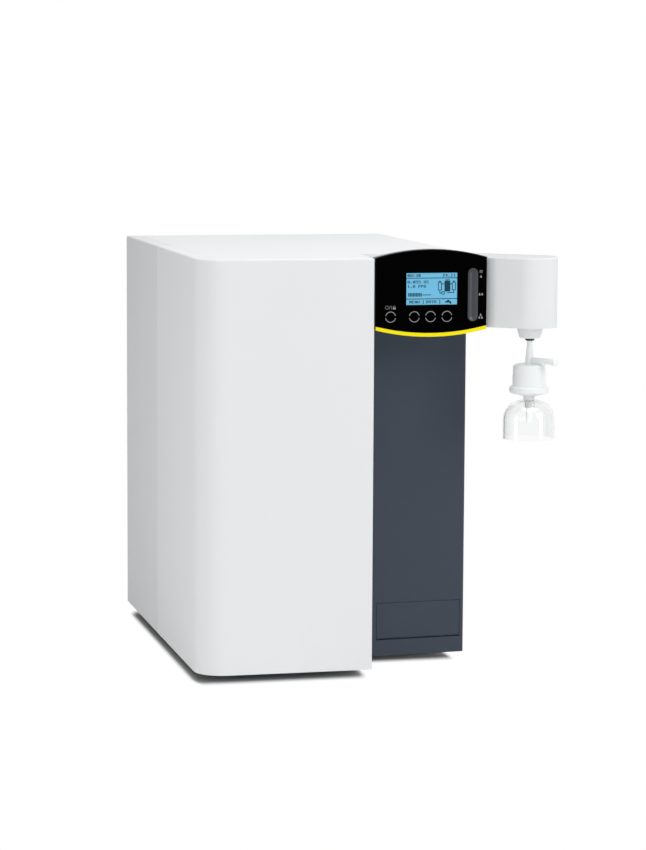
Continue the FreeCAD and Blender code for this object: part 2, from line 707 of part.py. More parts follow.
def rubber_feet():
    """Four tapered feet with a hollow under each and a screw up into the tray."""
    feet = []
    for x, y in foot_places():
        profile = [(0, 4), (5, 4), (5, 0), (FOOT_RADIUS - 3, 0), (FOOT_RADIUS - 2, 1),
                   (FOOT_RADIUS, TRAY_BOTTOM), (0, TRAY_BOTTOM)]
        foot = lathe(profile, V(x, y, 0))
        screw = rod(FOOT_SCREW_RADIUS, V(x, y, TRAY_BOTTOM - 2), UP, SHEET + 5)
        feet.append(join(foot, screw))
    return Part.makeCompound(feet)


def centre_bulkhead():
    """Sheet between the wet and the electrical side, with the jamb for the cover's studs."""
    x, y = socket_places()[1]
    jamb_y = y + SOCKET_DEPTH + FIT_GAP
    web = block(BULKHEAD_X - SHEET, BULKHEAD_X, jamb_y, REAR_PANEL_Y, TRAY_TOP, INNER_TOP)
    jamb = block(BULKHEAD_X - JAMB_WIDTH, BULKHEAD_X, jamb_y, jamb_y + SHEET, TRAY_TOP, INNER_TOP)
    passes = [rod(14, V(BULKHEAD_X - 2 * SHEET, spot_y, spot_z), RIGHTWARD, 4 * SHEET)
              for spot_y, spot_z in ((HOSE_PASS_Y, HOSE_PASS_Z), (BOARD_Y - 30, BOARD_Z))]
    front_edge = column_line(BULKHEAD_X, COLUMN_SKIN + SHEET + 2 * FIT_GAP)
    back_edge = REAR_PANEL_Y - SHEET - 2 * FIT_GAP
    notches = [block(0, BODY_WIDTH, start, end, 0, TRAY_EDGE + FIT_GAP)
               for start, end in ((0, front_edge), (back_edge, BODY_DEPTH))]
    return carve(join(web, jamb), *passes, *notches, *stud_holes(x, y))


def rear_panel():
    """Rear sheet with its vents and the openings for everything that is mounted on it."""
    sheet = block(SKIN + SEAM, BODY_WIDTH - SKIN - SEAM, REAR_PANEL_Y, REAR_PANEL_Y + SHEET,
                  COVER_BOTTOM + SKIN + SEAM, INNER_TOP)
    start = REAR_PANEL_Y - 1
    deep = SHEET + 2
    cuts = [rod(FAN_BORE, V(FAN_X, start, FAN_Z), REARWARD, deep)]
    inlet_w, inlet_h = INLET_BODY
    cuts.append(block(INLET_X - inlet_w / 2 - FIT_GAP, INLET_X + inlet_w / 2 + FIT_GAP, start, start + deep,
                      INLET_Z - inlet_h / 2 - FIT_GAP, INLET_Z + inlet_h / 2 + FIT_GAP))
    switch_w, switch_h = SWITCH_BODY
    cuts.append(block(SWITCH_X - switch_w / 2 - FIT_GAP, SWITCH_X + switch_w / 2 + FIT_GAP, start,
                      start + deep, INLET_Z - switch_h / 2 - FIT_GAP, INLET_Z + switch_h / 2 + FIT_GAP))
    cuts += [rod(FITTING_RADIUS - 2 + FIT_GAP, V(x, start, FITTING_Z), REARWARD, deep) for x in FITTING_XS]
    data_w, data_h = DATA_BODY
    cuts.append(block(DATA_X - data_w / 2 - FIT_GAP, DATA_X + data_w / 2 + FIT_GAP, start, start + deep,
                      FITTING_Z - data_h / 2 - FIT_GAP, FITTING_Z + data_h / 2 + FIT_GAP))
    cuts += [vent_slot(FAN_X, SLOT_Z - index * SLOT_PITCH, start, deep) for index in range(SLOT_COUNT)]
    return carve(sheet, *cuts)


def vent_slot(x, z, start, deep):
    """Round-ended slot through the rear sheet."""
    half = SLOT_LENGTH / 2 - SLOT_HEIGHT / 2
    middle = block(x - half, x + half, start, start + deep, z - SLOT_HEIGHT / 2, z + SLOT_HEIGHT / 2)
    ends = [rod(SLOT_HEIGHT / 2, V(x + side * half, start, z), REARWARD, deep) for side in (-1, 1)]
    return join(middle, *ends)


# ---------------------------------------------------------------- column
def on_column(shape):
    """Move a shape from the column's own frame (x along the face, y inward) to the machine."""
    placed = shape.copy()
    placed.rotate(V(0, 0, 0), UP, COLUMN_TILT)
    placed.translate(V(COLUMN_LEFT, SETBACK_LEFT, 0))
    return placed


def column_fascia():
    """Slate front of the column with its folded returns and the service opening."""
    skin = COLUMN_SKIN
    back_left = column_line(COLUMN_LEFT) + COLUMN_RETURN
    back_right = SETBACK_RIGHT + COLUMN_RETURN
    inner_right = BODY_WIDTH - skin
    outline = [(COLUMN_LEFT, column_line(COLUMN_LEFT)), (BODY_WIDTH, SETBACK_RIGHT), (BODY_WIDTH, back_right),
               (inner_right, back_right), (inner_right, column_line(inner_right, skin)),
               (COLUMN_LEFT + skin, column_line(COLUMN_LEFT + skin, skin)),
               (COLUMN_LEFT + skin, back_left), (BULKHEAD_X, back_left),
               (BULKHEAD_X, back_left - skin), (COLUMN_LEFT, back_left - skin)]
    shell = prism(outline, COVER_BOTTOM, INNER_TOP)
    shell = round_upright(shell, COLUMN_ROUND, (BODY_WIDTH, SETBACK_RIGHT))
    shell = round_upright(shell, COLUMN_ROUND - skin, (inner_right, column_line(inner_right, skin)))
    opening = block(FLAP_LEFT - FLAP_GAP, FLAP_RIGHT + FLAP_GAP, -1, skin + 1,
                    FLAP_BOTTOM - FLAP_GAP, FLAP_TOP + FLAP_GAP)
    pegs = rod(PEG_RADIUS + FIT_GAP, V(FLAP_LEFT - 2 * PEG_LENGTH, FLAP_BEAD, FLAP_BOTTOM + FLAP_BEAD),
               RIGHTWARD, FLAP_RIGHT - FLAP_LEFT + 4 * PEG_LENGTH)
    seams = [block(FLAP_RIGHT, BODY_WIDTH, -1, SEAM_GROOVE, z - FLAP_GAP / 2, z + FLAP_GAP / 2)
             for z in (FLAP_BOTTOM - FLAP_GAP / 2, FLAP_TOP + FLAP_GAP / 2)]
    pass_hole = rod(12, V(HOSE_GATE_X, 0, HOSE_PASS_Z), REARWARD, BODY_DEPTH)
    tray_room = block(0, COLUMN_LEFT + skin + FIT_GAP, column_line(COLUMN_LEFT, skin) + FIT_GAP,
                      back_left + 1, 0, TRAY_EDGE + FIT_GAP)
    cuts = [on_column(shape) for shape in (opening, pegs, *seams)]
    return carve(shell, *cuts, pass_hole, tray_room)


def service_flap():
    """Slate flap that swings down on two pegs inside its lower edge."""
    plate = block(FLAP_LEFT, FLAP_RIGHT, 0, FLAP_SKIN, FLAP_BOTTOM + FLAP_BEAD, FLAP_TOP)
    axis = V(FLAP_LEFT, FLAP_BEAD, FLAP_BOTTOM + FLAP_BEAD)
    bead = rod(FLAP_BEAD, axis, RIGHTWARD, FLAP_RIGHT - FLAP_LEFT)
    pegs = rod(PEG_RADIUS, axis - RIGHTWARD * PEG_LENGTH, RIGHTWARD, FLAP_RIGHT - FLAP_LEFT + 2 * PEG_LENGTH)
    catch = block((FLAP_LEFT + FLAP_RIGHT) / 2 - 6, (FLAP_LEFT + FLAP_RIGHT) / 2 + 6, FLAP_SKIN - 0.5,
                  FLAP_SKIN + 5, FLAP_TOP - 6, FLAP_TOP - 3)
    return on_column(join(plate, bead, pegs, catch))


def service_niche():
    """Open box behind the flap, with the peg holes in its side walls."""
    wall = NICHE_WALL
    left = FLAP_LEFT - FLAP_GAP - wall
    right = FLAP_RIGHT + FLAP_GAP + wall
    low = FLAP_BOTTOM - FLAP_GAP - wall
    high = FLAP_TOP + FLAP_GAP + wall
    outer = block(left, right, COLUMN_SKIN, NICHE_DEPTH, low, high)
    inner = block(left + wall, right - wall, 0, NICHE_DEPTH - wall, low + wall, high - wall)
    pegs = rod(PEG_RADIUS + RUN_GAP, V(left - 1, FLAP_BEAD, FLAP_BOTTOM + FLAP_BEAD), RIGHTWARD,
               right - left + 2)
    port = rod(PORT_OUTER + FIT_GAP, V(PORT_X, 0, port_height()), REARWARD, NICHE_DEPTH + 1)
    return on_column(carve(outer, inner, pegs, port))


def port_height():
    """Height of the sanitising port: the middle of the flap."""
    return (FLAP_BOTTOM + FLAP_TOP) / 2


def sanitising_port():
    """Threaded port in the niche's back wall, with its flange and hose tail."""
    centre = V(PORT_X, 0, port_height())
    wall = NICHE_DEPTH - NICHE_WALL
    flange = rod(PORT_FLANGE, centre + REARWARD * (wall - 3), REARWARD, 3)
    neck = rod(PORT_OUTER, centre + REARWARD * (wall - PORT_LENGTH), REARWARD, PORT_LENGTH + 14)
    nut = rod(PORT_FLANGE - 1, centre + REARWARD * NICHE_DEPTH, REARWARD, 5)
    bore = rod(PORT_BORE, centre + REARWARD * (wall - PORT_LENGTH - 1), REARWARD, PORT_LENGTH + 16)
    return on_column(carve(join(flange, neck, nut), bore))


def sanitising_plug():
    """Ribbed cap over the port, with a stem in its bore."""
    centre = V(PORT_X, 0, port_height())
    mouth = NICHE_DEPTH - NICHE_WALL - PORT_LENGTH
    start = mouth - 3 - FIT_GAP
    cap = rod(PLUG_RADIUS, centre + REARWARD * start, REARWARD, PLUG_LENGTH)
    hollow = rod(PORT_OUTER + FIT_GAP, centre + REARWARD * (mouth - FIT_GAP), REARWARD, PLUG_LENGTH)
    stem = rod(PORT_BORE - FIT_GAP, centre + REARWARD * (mouth - 2), REARWARD, 8)
    wing = block(PORT_X - PLUG_RADIUS + 1, PORT_X + PLUG_RADIUS - 1, start - 5, start + 1,
                 port_height() - 2, port_height() + 2)
    return on_column(join(cap.cut(hollow), stem, wing))


# ---------------------------------------------------------------- dispensing head
def arm_point(along, aside):
    """Point in plan: along the arm from the nozzle towards its tip, and to the arm's rear side."""
    spot = NOZZLE + ARM_AXIS * along + ARM_SIDE * aside
    return V(spot.x, spot.y, 0)


def head_face():
    """Plan of the head: the box behind the display and the slanted arm with its round end."""
    notch = GLASS_RIGHT + HOOD_EDGE + HOOD_GAP
    near = (notch - arm_point(0, -ARM_RADIUS).x) / ARM_AXIS.x
    front_start = arm_point(near, -ARM_RADIUS)
    front_end = arm_point(0, -ARM_RADIUS)
    back_end = arm_point(0, ARM_RADIUS)
    reach = (BODY_WIDTH - back_end.x) / ARM_AXIS.x
    back_start = arm_point(reach, ARM_RADIUS)
    corner = V(BODY_WIDTH, column_line(BODY_WIDTH, -SEAM), 0)
    runs = [corner, V(COLUMN_LEFT, column_line(COLUMN_LEFT, -SEAM), 0), V(COLUMN_LEFT, HEAD_FRONT, 0),
            V(notch, HEAD_FRONT, 0), front_start, front_end]
    edges = [Part.Arc(front_end, arm_point(ARM_RADIUS, 0), back_end).toShape(),
             Part.LineSegment(back_end, back_start).toShape()]
    for start, end in zip([back_start] + runs, runs):
        edges.append(Part.LineSegment(start, end).toShape())
    return Part.Face(Part.Wire(edges))


def head_solid(inset, z0, z1):
    """Upright solid on the head's plan."""
    face = head_face()
    if inset:
        face = Part.Face(face.OuterWire.makeOffset2D(-inset, 2))
    face.translate(V(0, 0, z0))
    return face.extrude(V(0, 0, z1 - z0))


def head_housing():
    """One white moulding for the head and the arm, open below and hollow."""
    outer = head_solid(0, HEAD_BOTTOM, BODY_TOP)
    crown = [edge for edge in edges_at(outer, BODY_TOP) if touches_arm(edge)]
    outer = outer.makeFillet(TOP_ROUND, crown)
    inner = head_solid(HEAD_SKIN, HEAD_BOTTOM - 1, BODY_TOP - HEAD_SKIN)
    gate = rod(12, V(HOSE_GATE_X, 0, HOSE_PASS_Z), REARWARD, BODY_DEPTH)
    gate = gate.common(block(0, BODY_WIDTH, HEAD_FRONT + 2 * HEAD_SKIN, BODY_DEPTH, 0, BODY_TOP))
    lead = block(SCREEN_LEFT, SCREEN_LEFT + SCREEN_WIDTH / 2, HEAD_FRONT - 1, HEAD_FRONT + 2 * HEAD_SKIN,
                 KEY_Z, KEY_Z + 20)
    return carve(outer, inner, gate, lead)


def touches_arm(edge):
    """True for an upper edge along the arm's sides or round its end."""
    middle = edge.valueAt((edge.FirstParameter + edge.LastParameter) / 2)
    return middle.x > GLASS_RIGHT + HOOD_EDGE + HOOD_GAP + 0.1


def head_plate():
    """Plate that closes the head from below and carries the nozzle collar."""
    low = HEAD_BOTTOM + PLATE_INSET
    plate = head_solid(HEAD_SKIN + FIT_GAP, low, low + PLATE_SKIN)
    return carve(plate, rod(INSERT_RADIUS + FIT_GAP, V(NOZZLE_X, NOZZLE_Y, low - 1), UP, PLATE_SKIN + 2))


def nozzle_collar():
    """White tapered collar under the plate, round the nozzle insert."""
    top = HEAD_BOTTOM + PLATE_INSET
    low = top - COLLAR_HEIGHT
    bore = INSERT_RADIUS + FIT_GAP
    profile = [(bore, top), (COLLAR_RADIUS, top), (COLLAR_RADIUS, top - COLLAR_STEP),
               (COLLAR_TIP_RADIUS + 0.6, low), (COLLAR_TIP_RADIUS - 0.4, low - 0.8), (bore, low - 0.8)]
    return lathe(profile, NOZZLE)


def nozzle_insert():
    """Black sleeve that takes the filter's stem, with a flange on the plate."""
    seat = HEAD_BOTTOM + PLATE_INSET + PLATE_SKIN
    profile = [(INSERT_BORE, INSERT_BOTTOM), (INSERT_RADIUS - 0.8, INSERT_BOTTOM),
               (INSERT_RADIUS, INSERT_BOTTOM + 0.8), (INSERT_RADIUS, seat),
               (INSERT_RADIUS + INSERT_LEDGE, seat), (INSERT_RADIUS + INSERT_LEDGE, seat + 3),
               (INSERT_RADIUS, seat + 3), (INSERT_RADIUS, INSERT_TOP), (INSERT_BORE, INSERT_TOP)]
    return lathe(profile, NOZZLE)


def dispense_valve():
    """Solenoid valve on the nozzle insert: body, coil and inlet spigot facing up the arm."""
    half = VALVE_WIDTH / 2
    body = block(NOZZLE_X - half, NOZZLE_X + half, NOZZLE_Y - half, NOZZLE_Y + half,
                 INSERT_TOP, INSERT_TOP + VALVE_HEIGHT)
    body.rotate(NOZZLE, UP, -ARM_ANGLE)
    coil = rod(COIL_RADIUS, V(NOZZLE_X, NOZZLE_Y, INSERT_TOP + VALVE_HEIGHT), UP, COIL_HEIGHT)
    spigot = rod(HOSE_RADIUS + 1.5, NOZZLE + UP * spigot_height(), -ARM_AXIS, half + 10)
    bore = rod(HOSE_RADIUS + RUN_GAP, NOZZLE - ARM_AXIS * (half + 2) + UP * spigot_height(), -ARM_AXIS, 20)
    return carve(join(body, coil, spigot), bore)


def spigot_height():
    """Height of the dispensing valve's inlet."""
    return INSERT_TOP + VALVE_HEIGHT / 2


def dispense_hose():
    """Hose from the valve back along the arm, through the head and the bulkhead."""
    start = NOZZLE - ARM_AXIS * (VALVE_WIDTH / 2 + 2.5) + UP * spigot_height()
    knee = NOZZLE - ARM_AXIS * 62 + UP * spigot_height()
    rise = V(HOSE_GATE_X, (knee.y + SETBACK_LEFT) / 2, HOSE_PASS_Z)
    behind = V(HOSE_GATE_X, HOSE_PASS_Y, HOSE_PASS_Z)
    turn = V(cell_x() - HOSE_BEND / 2, HOSE_PASS_Y, HOSE_PASS_Z)
    rear = V(cell_x(), cell_front() - 2 * HOSE_BEND, HOSE_PASS_Z)
    end = V(cell_x(), cell_front() - TUBE_GAP / 2, HOSE_PASS_Z)
    return hose([start, knee, rise, behind, turn, rear, end], HOSE_RADIUS, HOSE_BORE, HOSE_BEND)


# ---------------------------------------------------------------- display
def bowed_face(y, left, right, low_side, low_mid, high_side, high_mid):
    """Upright face with straight sides and bowed top and bottom edges."""
    middle = (left + right) / 2
    top = Part.Arc(V(left, y, high_side), V(middle, y, high_mid), V(right, y, high_side))
    bottom = Part.Arc(V(right, y, low_side), V(middle, y, low_mid), V(left, y, low_side))
    sides = [Part.LineSegment(V(left, y, low_side), V(left, y, high_side)),
             Part.LineSegment(V(right, y, high_side), V(right, y, low_side))]
    return Part.Face(Part.Wire([one.toShape() for one in (sides[0], top, sides[1], bottom)]))


def bowed_slab(y0, y1, *outline):
    """Slab of the bowed outline between two planes."""
    return bowed_face(y0, *outline).extrude(V(0, y1 - y0, 0))


def stadium(x, z, width, height, y0, y1):
    """Upright round-ended slab."""
    radius = width / 2
    half = height / 2 - radius
    middle = block(x - radius, x + radius, y0, y1, z - half, z + half)
    ends = [rod(radius, V(x, y0, z + side * half), REARWARD, y1 - y0) for side in (-1, 1)]
    return join(middle, *ends)


def glass_back():
    """Y of the back of the display glass."""
    return GLASS_FRONT + GLASS_THICK


def display_glass():
    """Black glass with bowed edges, a window for the screen and a slot for the flow groove."""
    slab = bowed_slab(GLASS_FRONT, glass_back(), GLASS_LEFT, GLASS_RIGHT, GLASS_BOTTOM_SIDE,
                      GLASS_BOTTOM_MID, GLASS_TOP_SIDE, GLASS_TOP_MID)
    corners = [edge for edge in slab.Edges if upright_y(edge)]
    slab = slab.makeFillet(GLASS_CORNER, corners)
    front = [edge for edge in slab.Edges if edge.BoundBox.YMax < GLASS_FRONT + 1e-4]
    slab = slab.makeChamfer(GLASS_BEVEL, front)
    window = block(SCREEN_LEFT, SCREEN_LEFT + SCREEN_WIDTH, GLASS_FRONT - 1, glass_back() + 1,
                   SCREEN_BOTTOM, SCREEN_BOTTOM + SCREEN_HEIGHT)
    slot = stadium(GROOVE_X, GROOVE_Z, GROOVE_WIDTH, GROOVE_HEIGHT, GLASS_FRONT - 1, glass_back() + 1)
    return carve(slab, window, slot)


def upright_y(edge):
    """True for a short edge that runs through the glass at its upper corners."""
    box = edge.BoundBox
    return box.XLength < 1e-6 and box.ZLength < 1e-6 and box.ZMin > GLASS_TOP_SIDE - 1


def accent_strip():
    """Narrow yellow strip that follows the glass's lower edge."""
    slab = bowed_slab(GLASS_FRONT, glass_back(), GLASS_LEFT, GLASS_RIGHT,
                      GLASS_BOTTOM_SIDE - STRIP_HEIGHT, GLASS_BOTTOM_MID - STRIP_HEIGHT,
                      GLASS_BOTTOM_SIDE - 0.05, GLASS_BOTTOM_MID - 0.05)
    return slab


def display_hood():
    """Hood that carries the glass and the strip and stands above the top as an arch."""
    rim = HOOD_EDGE
    front = glass_back()
    low_side = GLASS_BOTTOM_SIDE - STRIP_HEIGHT
    low_mid = GLASS_BOTTOM_MID - STRIP_HEIGHT
    outer = bowed_slab(front, HEAD_FRONT, GLASS_LEFT - rim, GLASS_RIGHT + rim, low_side, low_mid,
                       GLASS_TOP_SIDE + rim, GLASS_TOP_MID + rim)
    back = [edge for edge in outer.Edges
            if edge.BoundBox.YMin > HEAD_FRONT - 1e-4 and edge.BoundBox.ZMin > BODY_TOP - 1]
    outer = outer.makeFillet(HOOD_ROUND, back)
    wall = HOOD_SKIN
    inner = bowed_slab(front - 1, HEAD_FRONT - wall, GLASS_LEFT + wall, GLASS_RIGHT - wall, low_side + wall,
                       low_mid + wall, GLASS_TOP_SIDE - wall, GLASS_TOP_MID - wall)
    lead = block(SCREEN_LEFT, SCREEN_LEFT + SCREEN_WIDTH / 2, 0, HEAD_FRONT + 1, KEY_Z, KEY_Z + 20)
    return carve(outer, inner, lead)


def lcd_module():
    """Screen module: its face in the window and its case behind the glass."""
    gap = FIT_GAP
    face = block(SCREEN_LEFT + gap / 2, SCREEN_LEFT + SCREEN_WIDTH - gap / 2, GLASS_FRONT + SCREEN_SINK,
                 glass_back() + 1, SCREEN_BOTTOM + gap / 2, SCREEN_BOTTOM + SCREEN_HEIGHT - gap / 2)
    case = block(SCREEN_LEFT - SCREEN_BORDER, SCREEN_LEFT + SCREEN_WIDTH + SCREEN_BORDER, glass_back(),
                 glass_back() + SCREEN_DEPTH, SCREEN_BOTTOM - SCREEN_BORDER,
                 SCREEN_BOTTOM + SCREEN_HEIGHT + SCREEN_BORDER)
    return join(face, case)


def touch_board():
    """Sensor board on the back of the glass, with a round pad behind each key."""
    back = glass_back()
    low = KEY_Z - KEY_RADIUS - 1
    high = SCREEN_BOTTOM - SCREEN_BORDER - 1
    strip = block(GLASS_LEFT + 6, GLASS_RIGHT - 6, back, back + BOARD_THICK, low, high)
    side = block(GROOVE_X - GROOVE_WIDTH / 2 - 3, GROOVE_X + GROOVE_WIDTH / 2 + 3, back + 0.5,
                 back + 0.5 + BOARD_THICK, low, GROOVE_Z + GROOVE_HEIGHT / 2)
    pads = [rod(KEY_RADIUS - 1, V(x, back + BOARD_THICK - 0.5, KEY_Z), REARWARD, 1.0) for x in KEY_XS]
    board = join(strip, side, *pads)
    return carve(board, stadium(GROOVE_X, GROOVE_Z, GROOVE_WIDTH + 1, GROOVE_HEIGHT + 1, 0, back + 0.5))


def flow_groove():
    """Round-ended insert with the shallow finger groove that sets the flow."""
    front = GLASS_FRONT
    back = glass_back() + 0.4
    body = stadium(GROOVE_X, GROOVE_Z, GROOVE_WIDTH - FIT_GAP, GROOVE_HEIGHT - FIT_GAP, front, back)
    half_width = GROOVE_WIDTH / 2 - 1
    sweep = (half_width ** 2 + GROOVE_DEPTH ** 2) / (2 * GROOVE_DEPTH)
    half = GROOVE_HEIGHT / 2 - GROOVE_WIDTH / 2
    centre_y = front - sweep + GROOVE_DEPTH
    channel = rod(sweep, V(GROOVE_X, centre_y, GROOVE_Z - half), UP, 2 * half)
    ends = [Part.makeSphere(sweep, V(GROOVE_X, centre_y, GROOVE_Z + side * half)) for side in (-1, 1)]
    return carve(body, join(channel, *ends))


# ---------------------------------------------------------------- final filter and bell
def filter_upper():
    """Upper half of the capsule: stem, shoulder, wall and the vent branch."""
    wall = CAPSULE_WALL
    top = CAPSULE_TOP
    base = WELD_Z
    tip = INSERT_BOTTOM + STEM_INSIDE
    outer = [(0, tip), (STEM_RADIUS - 0.5, tip), (STEM_RADIUS, tip - 2), (STEM_RADIUS, INSERT_BOTTOM - 1),
             (STEM_BASE_RADIUS - 1, BRANCH_Z + 8), (STEM_BASE_RADIUS, top + 1), (STEM_BASE_RADIUS + 1, top),
             (CAPSULE_RADIUS - 4, top), (CAPSULE_RADIUS - 1.8, top - 0.8), (CAPSULE_RADIUS - 0.6, top - 3),
             (CAPSULE_RADIUS, base), (0, base)]
    inner = [(0, top - wall), (CAPSULE_RADIUS - 4.5, top - wall),
             (CAPSULE_RADIUS - wall - 0.6, top - wall - 2), (CAPSULE_RADIUS - wall, base - 1), (0, base - 1)]
    shell = lathe(outer, NOZZLE)
    branch = rod(BRANCH_RADIUS, NOZZLE + UP * BRANCH_Z, BRANCH_AXIS, BRANCH_LENGTH)
    web = block(0, CAPSULE_RADIUS - 3, -1.2, 1.2, top - 0.5, BRANCH_Z)
    web.rotate(V(0, 0, 0), UP, -BRANCH_ANGLE)
    web.translate(NOZZLE)
    solid = join(shell, branch, web)
    bores = [rod(STEM_RADIUS - 1.3, V(NOZZLE_X, NOZZLE_Y, top - wall - 1), UP, tip - top + wall + 2),
             rod(BRANCH_RADIUS - 1.5, NOZZLE + UP * BRANCH_Z, BRANCH_AXIS, BRANCH_LENGTH + 1)]
    return carve(solid, lathe(inner, NOZZLE), *bores)


def filter_lower():
    """Lower half of the capsule: wall, flange, bowl, neck and the outlet inside the bell."""
    wall = CAPSULE_WALL
    outer = [(0, WELD_Z - 0.05), (CAPSULE_RADIUS, WELD_Z - 0.05), (CAPSULE_RADIUS + 0.2, FLANGE_Z + 1),
             (FLANGE_RADIUS - 1.2, FLANGE_Z + 0.6), (FLANGE_RADIUS, FLANGE_Z - 0.8),
             (FLANGE_RADIUS, FLANGE_Z - FLANGE_HEIGHT + 1.6), (FLANGE_RADIUS - 1.2, FLANGE_Z - FLANGE_HEIGHT),
             (CAPSULE_RADIUS - 3, BOWL_BOTTOM + 2.6), (NECK_RADIUS + 2, BOWL_BOTTOM),
             (NECK_RADIUS, BOWL_BOTTOM - 0.6), (NECK_RADIUS, NECK_LOW), (OUTLET_RADIUS, NECK_LOW),
             (OUTLET_RADIUS, OUTLET_TIP), (0, OUTLET_TIP)]
    inner = [(0, WELD_Z + 1), (CAPSULE_RADIUS - wall, WELD_Z + 1), (CAPSULE_RADIUS - wall, FLANGE_Z - 3),
             (NECK_RADIUS, BOWL_BOTTOM + 2 + wall), (0, BOWL_BOTTOM + 2)]
    solid = carve(lathe(outer, NOZZLE), lathe(inner, NOZZLE))
    bore = rod(OUTLET_BORE, V(NOZZLE_X, NOZZLE_Y, OUTLET_TIP - 1), UP, BOWL_BOTTOM - OUTLET_TIP + 4)
    return carve(solid, bore)


def filter_pleats():
    """Pleated membrane: a closed star of folds round a core, between two end discs."""
    low = FLANGE_Z - 2.0
    corners = []
    for index in range(2 * PLEAT_COUNT):
        radius = PLEAT_OUTER if index % 2 == 0 else PLEAT_INNER + 1.5
        angle = math.pi * index / PLEAT_COUNT
        corners.append((radius * math.cos(angle), radius * math.sin(angle)))
    star = prism(corners, low, low + PLEAT_HEIGHT)
    discs = [rod(PLEAT_OUTER, V(0, 0, z), UP, 1.5) for z in (low - 1.5, low + PLEAT_HEIGHT)]
    core = rod(PLEAT_INNER - 1.5, V(0, 0, low - 3), UP, PLEAT_HEIGHT + 8)
    element = carve(join(star, *discs), core)
    element.translate(NOZZLE)
    return element


def vent_cap():
    """Round cap on the end of the vent branch."""
    start = BRANCH_LENGTH - 3
    length = VENT_LENGTH + 3
    profile_rod = rod(VENT_RADIUS, NOZZLE + BRANCH_AXIS * start + UP * BRANCH_Z, BRANCH_AXIS, length)
    ends = [edge for edge in profile_rod.Edges if edge.Curve.TypeId == "Part::GeomCircle"]
    body = profile_rod.makeFillet(VENT_ROUND, ends)
    bore = rod(BRANCH_RADIUS + FIT_GAP, NOZZLE + BRANCH_AXIS * (start - 1) + UP * BRANCH_Z, BRANCH_AXIS,
               4 + FIT_GAP)
    return carve(body, bore)


def dispense_bell():
    """Clear bell: hub on the outlet, domed shoulder and straight skirt."""
    def shell_face(inset, hub, low):
        shoulder = BELL_TOP - BELL_DOME
        radius = BELL_RADIUS - inset
        rise = BELL_DOME - inset
        flat = hub
        bow = radius - flat
        middle = V(flat + bow * math.sqrt(0.5), 0, shoulder + rise * math.sqrt(0.5))
        top = V(flat, 0, shoulder + rise)
        side = V(radius, 0, shoulder)
        edges = [Part.Arc(top, middle, side).toShape()]
        runs = [side, V(radius, 0, low), V(0, 0, low), V(0, 0, shoulder + rise), top]
        for start, end in zip(runs, runs[1:]):
            edges.append(Part.LineSegment(start, end).toShape())
        return Part.Face(Part.Wire(edges))
    outer = shell_face(0, BELL_HUB_RADIUS, BELL_BOTTOM).revolve(V(0, 0, 0), UP, 360)
    inner = shell_face(BELL_WALL, BELL_HUB_RADIUS - BELL_WALL, BELL_BOTTOM - 1).revolve(V(0, 0, 0), UP, 360)
    hub = rod(BELL_HUB_RADIUS - 1.5, V(0, 0, BELL_TOP - BELL_HUB_HEIGHT), UP, BELL_HUB_HEIGHT)
    bore = rod(OUTLET_RADIUS + FIT_GAP, V(0, 0, 0), UP, BELL_TOP + 1)
    bell = carve(join(outer.cut(inner), hub), bore)
    bell.translate(NOZZLE)
    return bell


# ---------------------------------------------------------------- cartridges
def docking_head():
    """Manifold on the bulkhead with a bayonet ring under it for each cartridge."""
    left = DOCK_XS[0] - RING_OUTER - 4
    back = CARTRIDGE_Y + DOCK_DEPTH / 2
    front = CARTRIDGE_Y - DOCK_DEPTH / 2
    right = BULKHEAD_X - SHEET
    body = block(left, right, front, back, DOCK_BOTTOM, DOCK_TOP)
    body = round_upright(body, DOCK_ROUND, (left, front), (left, back))
    flange = block(right - DOCK_FLANGE, right, front, back, DOCK_BOTTOM - DOCK_FLANGE_RISE,
                   DOCK_TOP + DOCK_FLANGE_RISE)
    shape = join(body, flange)
    for x in DOCK_XS:
        shape = join(shape, bayonet_ring(x))
    return carve(shape, *[rod(RING_BORE, V(x, CARTRIDGE_Y, DOCK_BOTTOM - 1), UP, 12) for x in DOCK_XS])


def bayonet_ring(x):
    """Ring with three tabs that hold the cartridge's lugs from below."""
    low = DOCK_BOTTOM - RING_HEIGHT
    ring = pipe(RING_OUTER, RING_BORE, V(x, CARTRIDGE_Y, low), UP, RING_HEIGHT + 0.5)
    tabs = pipe(RING_BORE + 0.5, LUG_INNER + LUG_GAP, V(x, CARTRIDGE_Y, low), UP, TAB_HEIGHT)
    gates = [wedge(x, 60 + 120 * index, RING_BORE + 1, low - 1, TAB_HEIGHT + 2) for index in range(3)]
    return join(ring, tabs.cut(gates))


def wedge(x, middle, radius, low, height):
    """Sector of 60 degrees about a cartridge's axis."""
    sector = Part.makeCylinder(radius, height, V(0, 0, low), UP, 60)
    sector.rotate(V(0, 0, 0), UP, middle - 30)
    sector.translate(V(x, CARTRIDGE_Y, 0))
    return sector


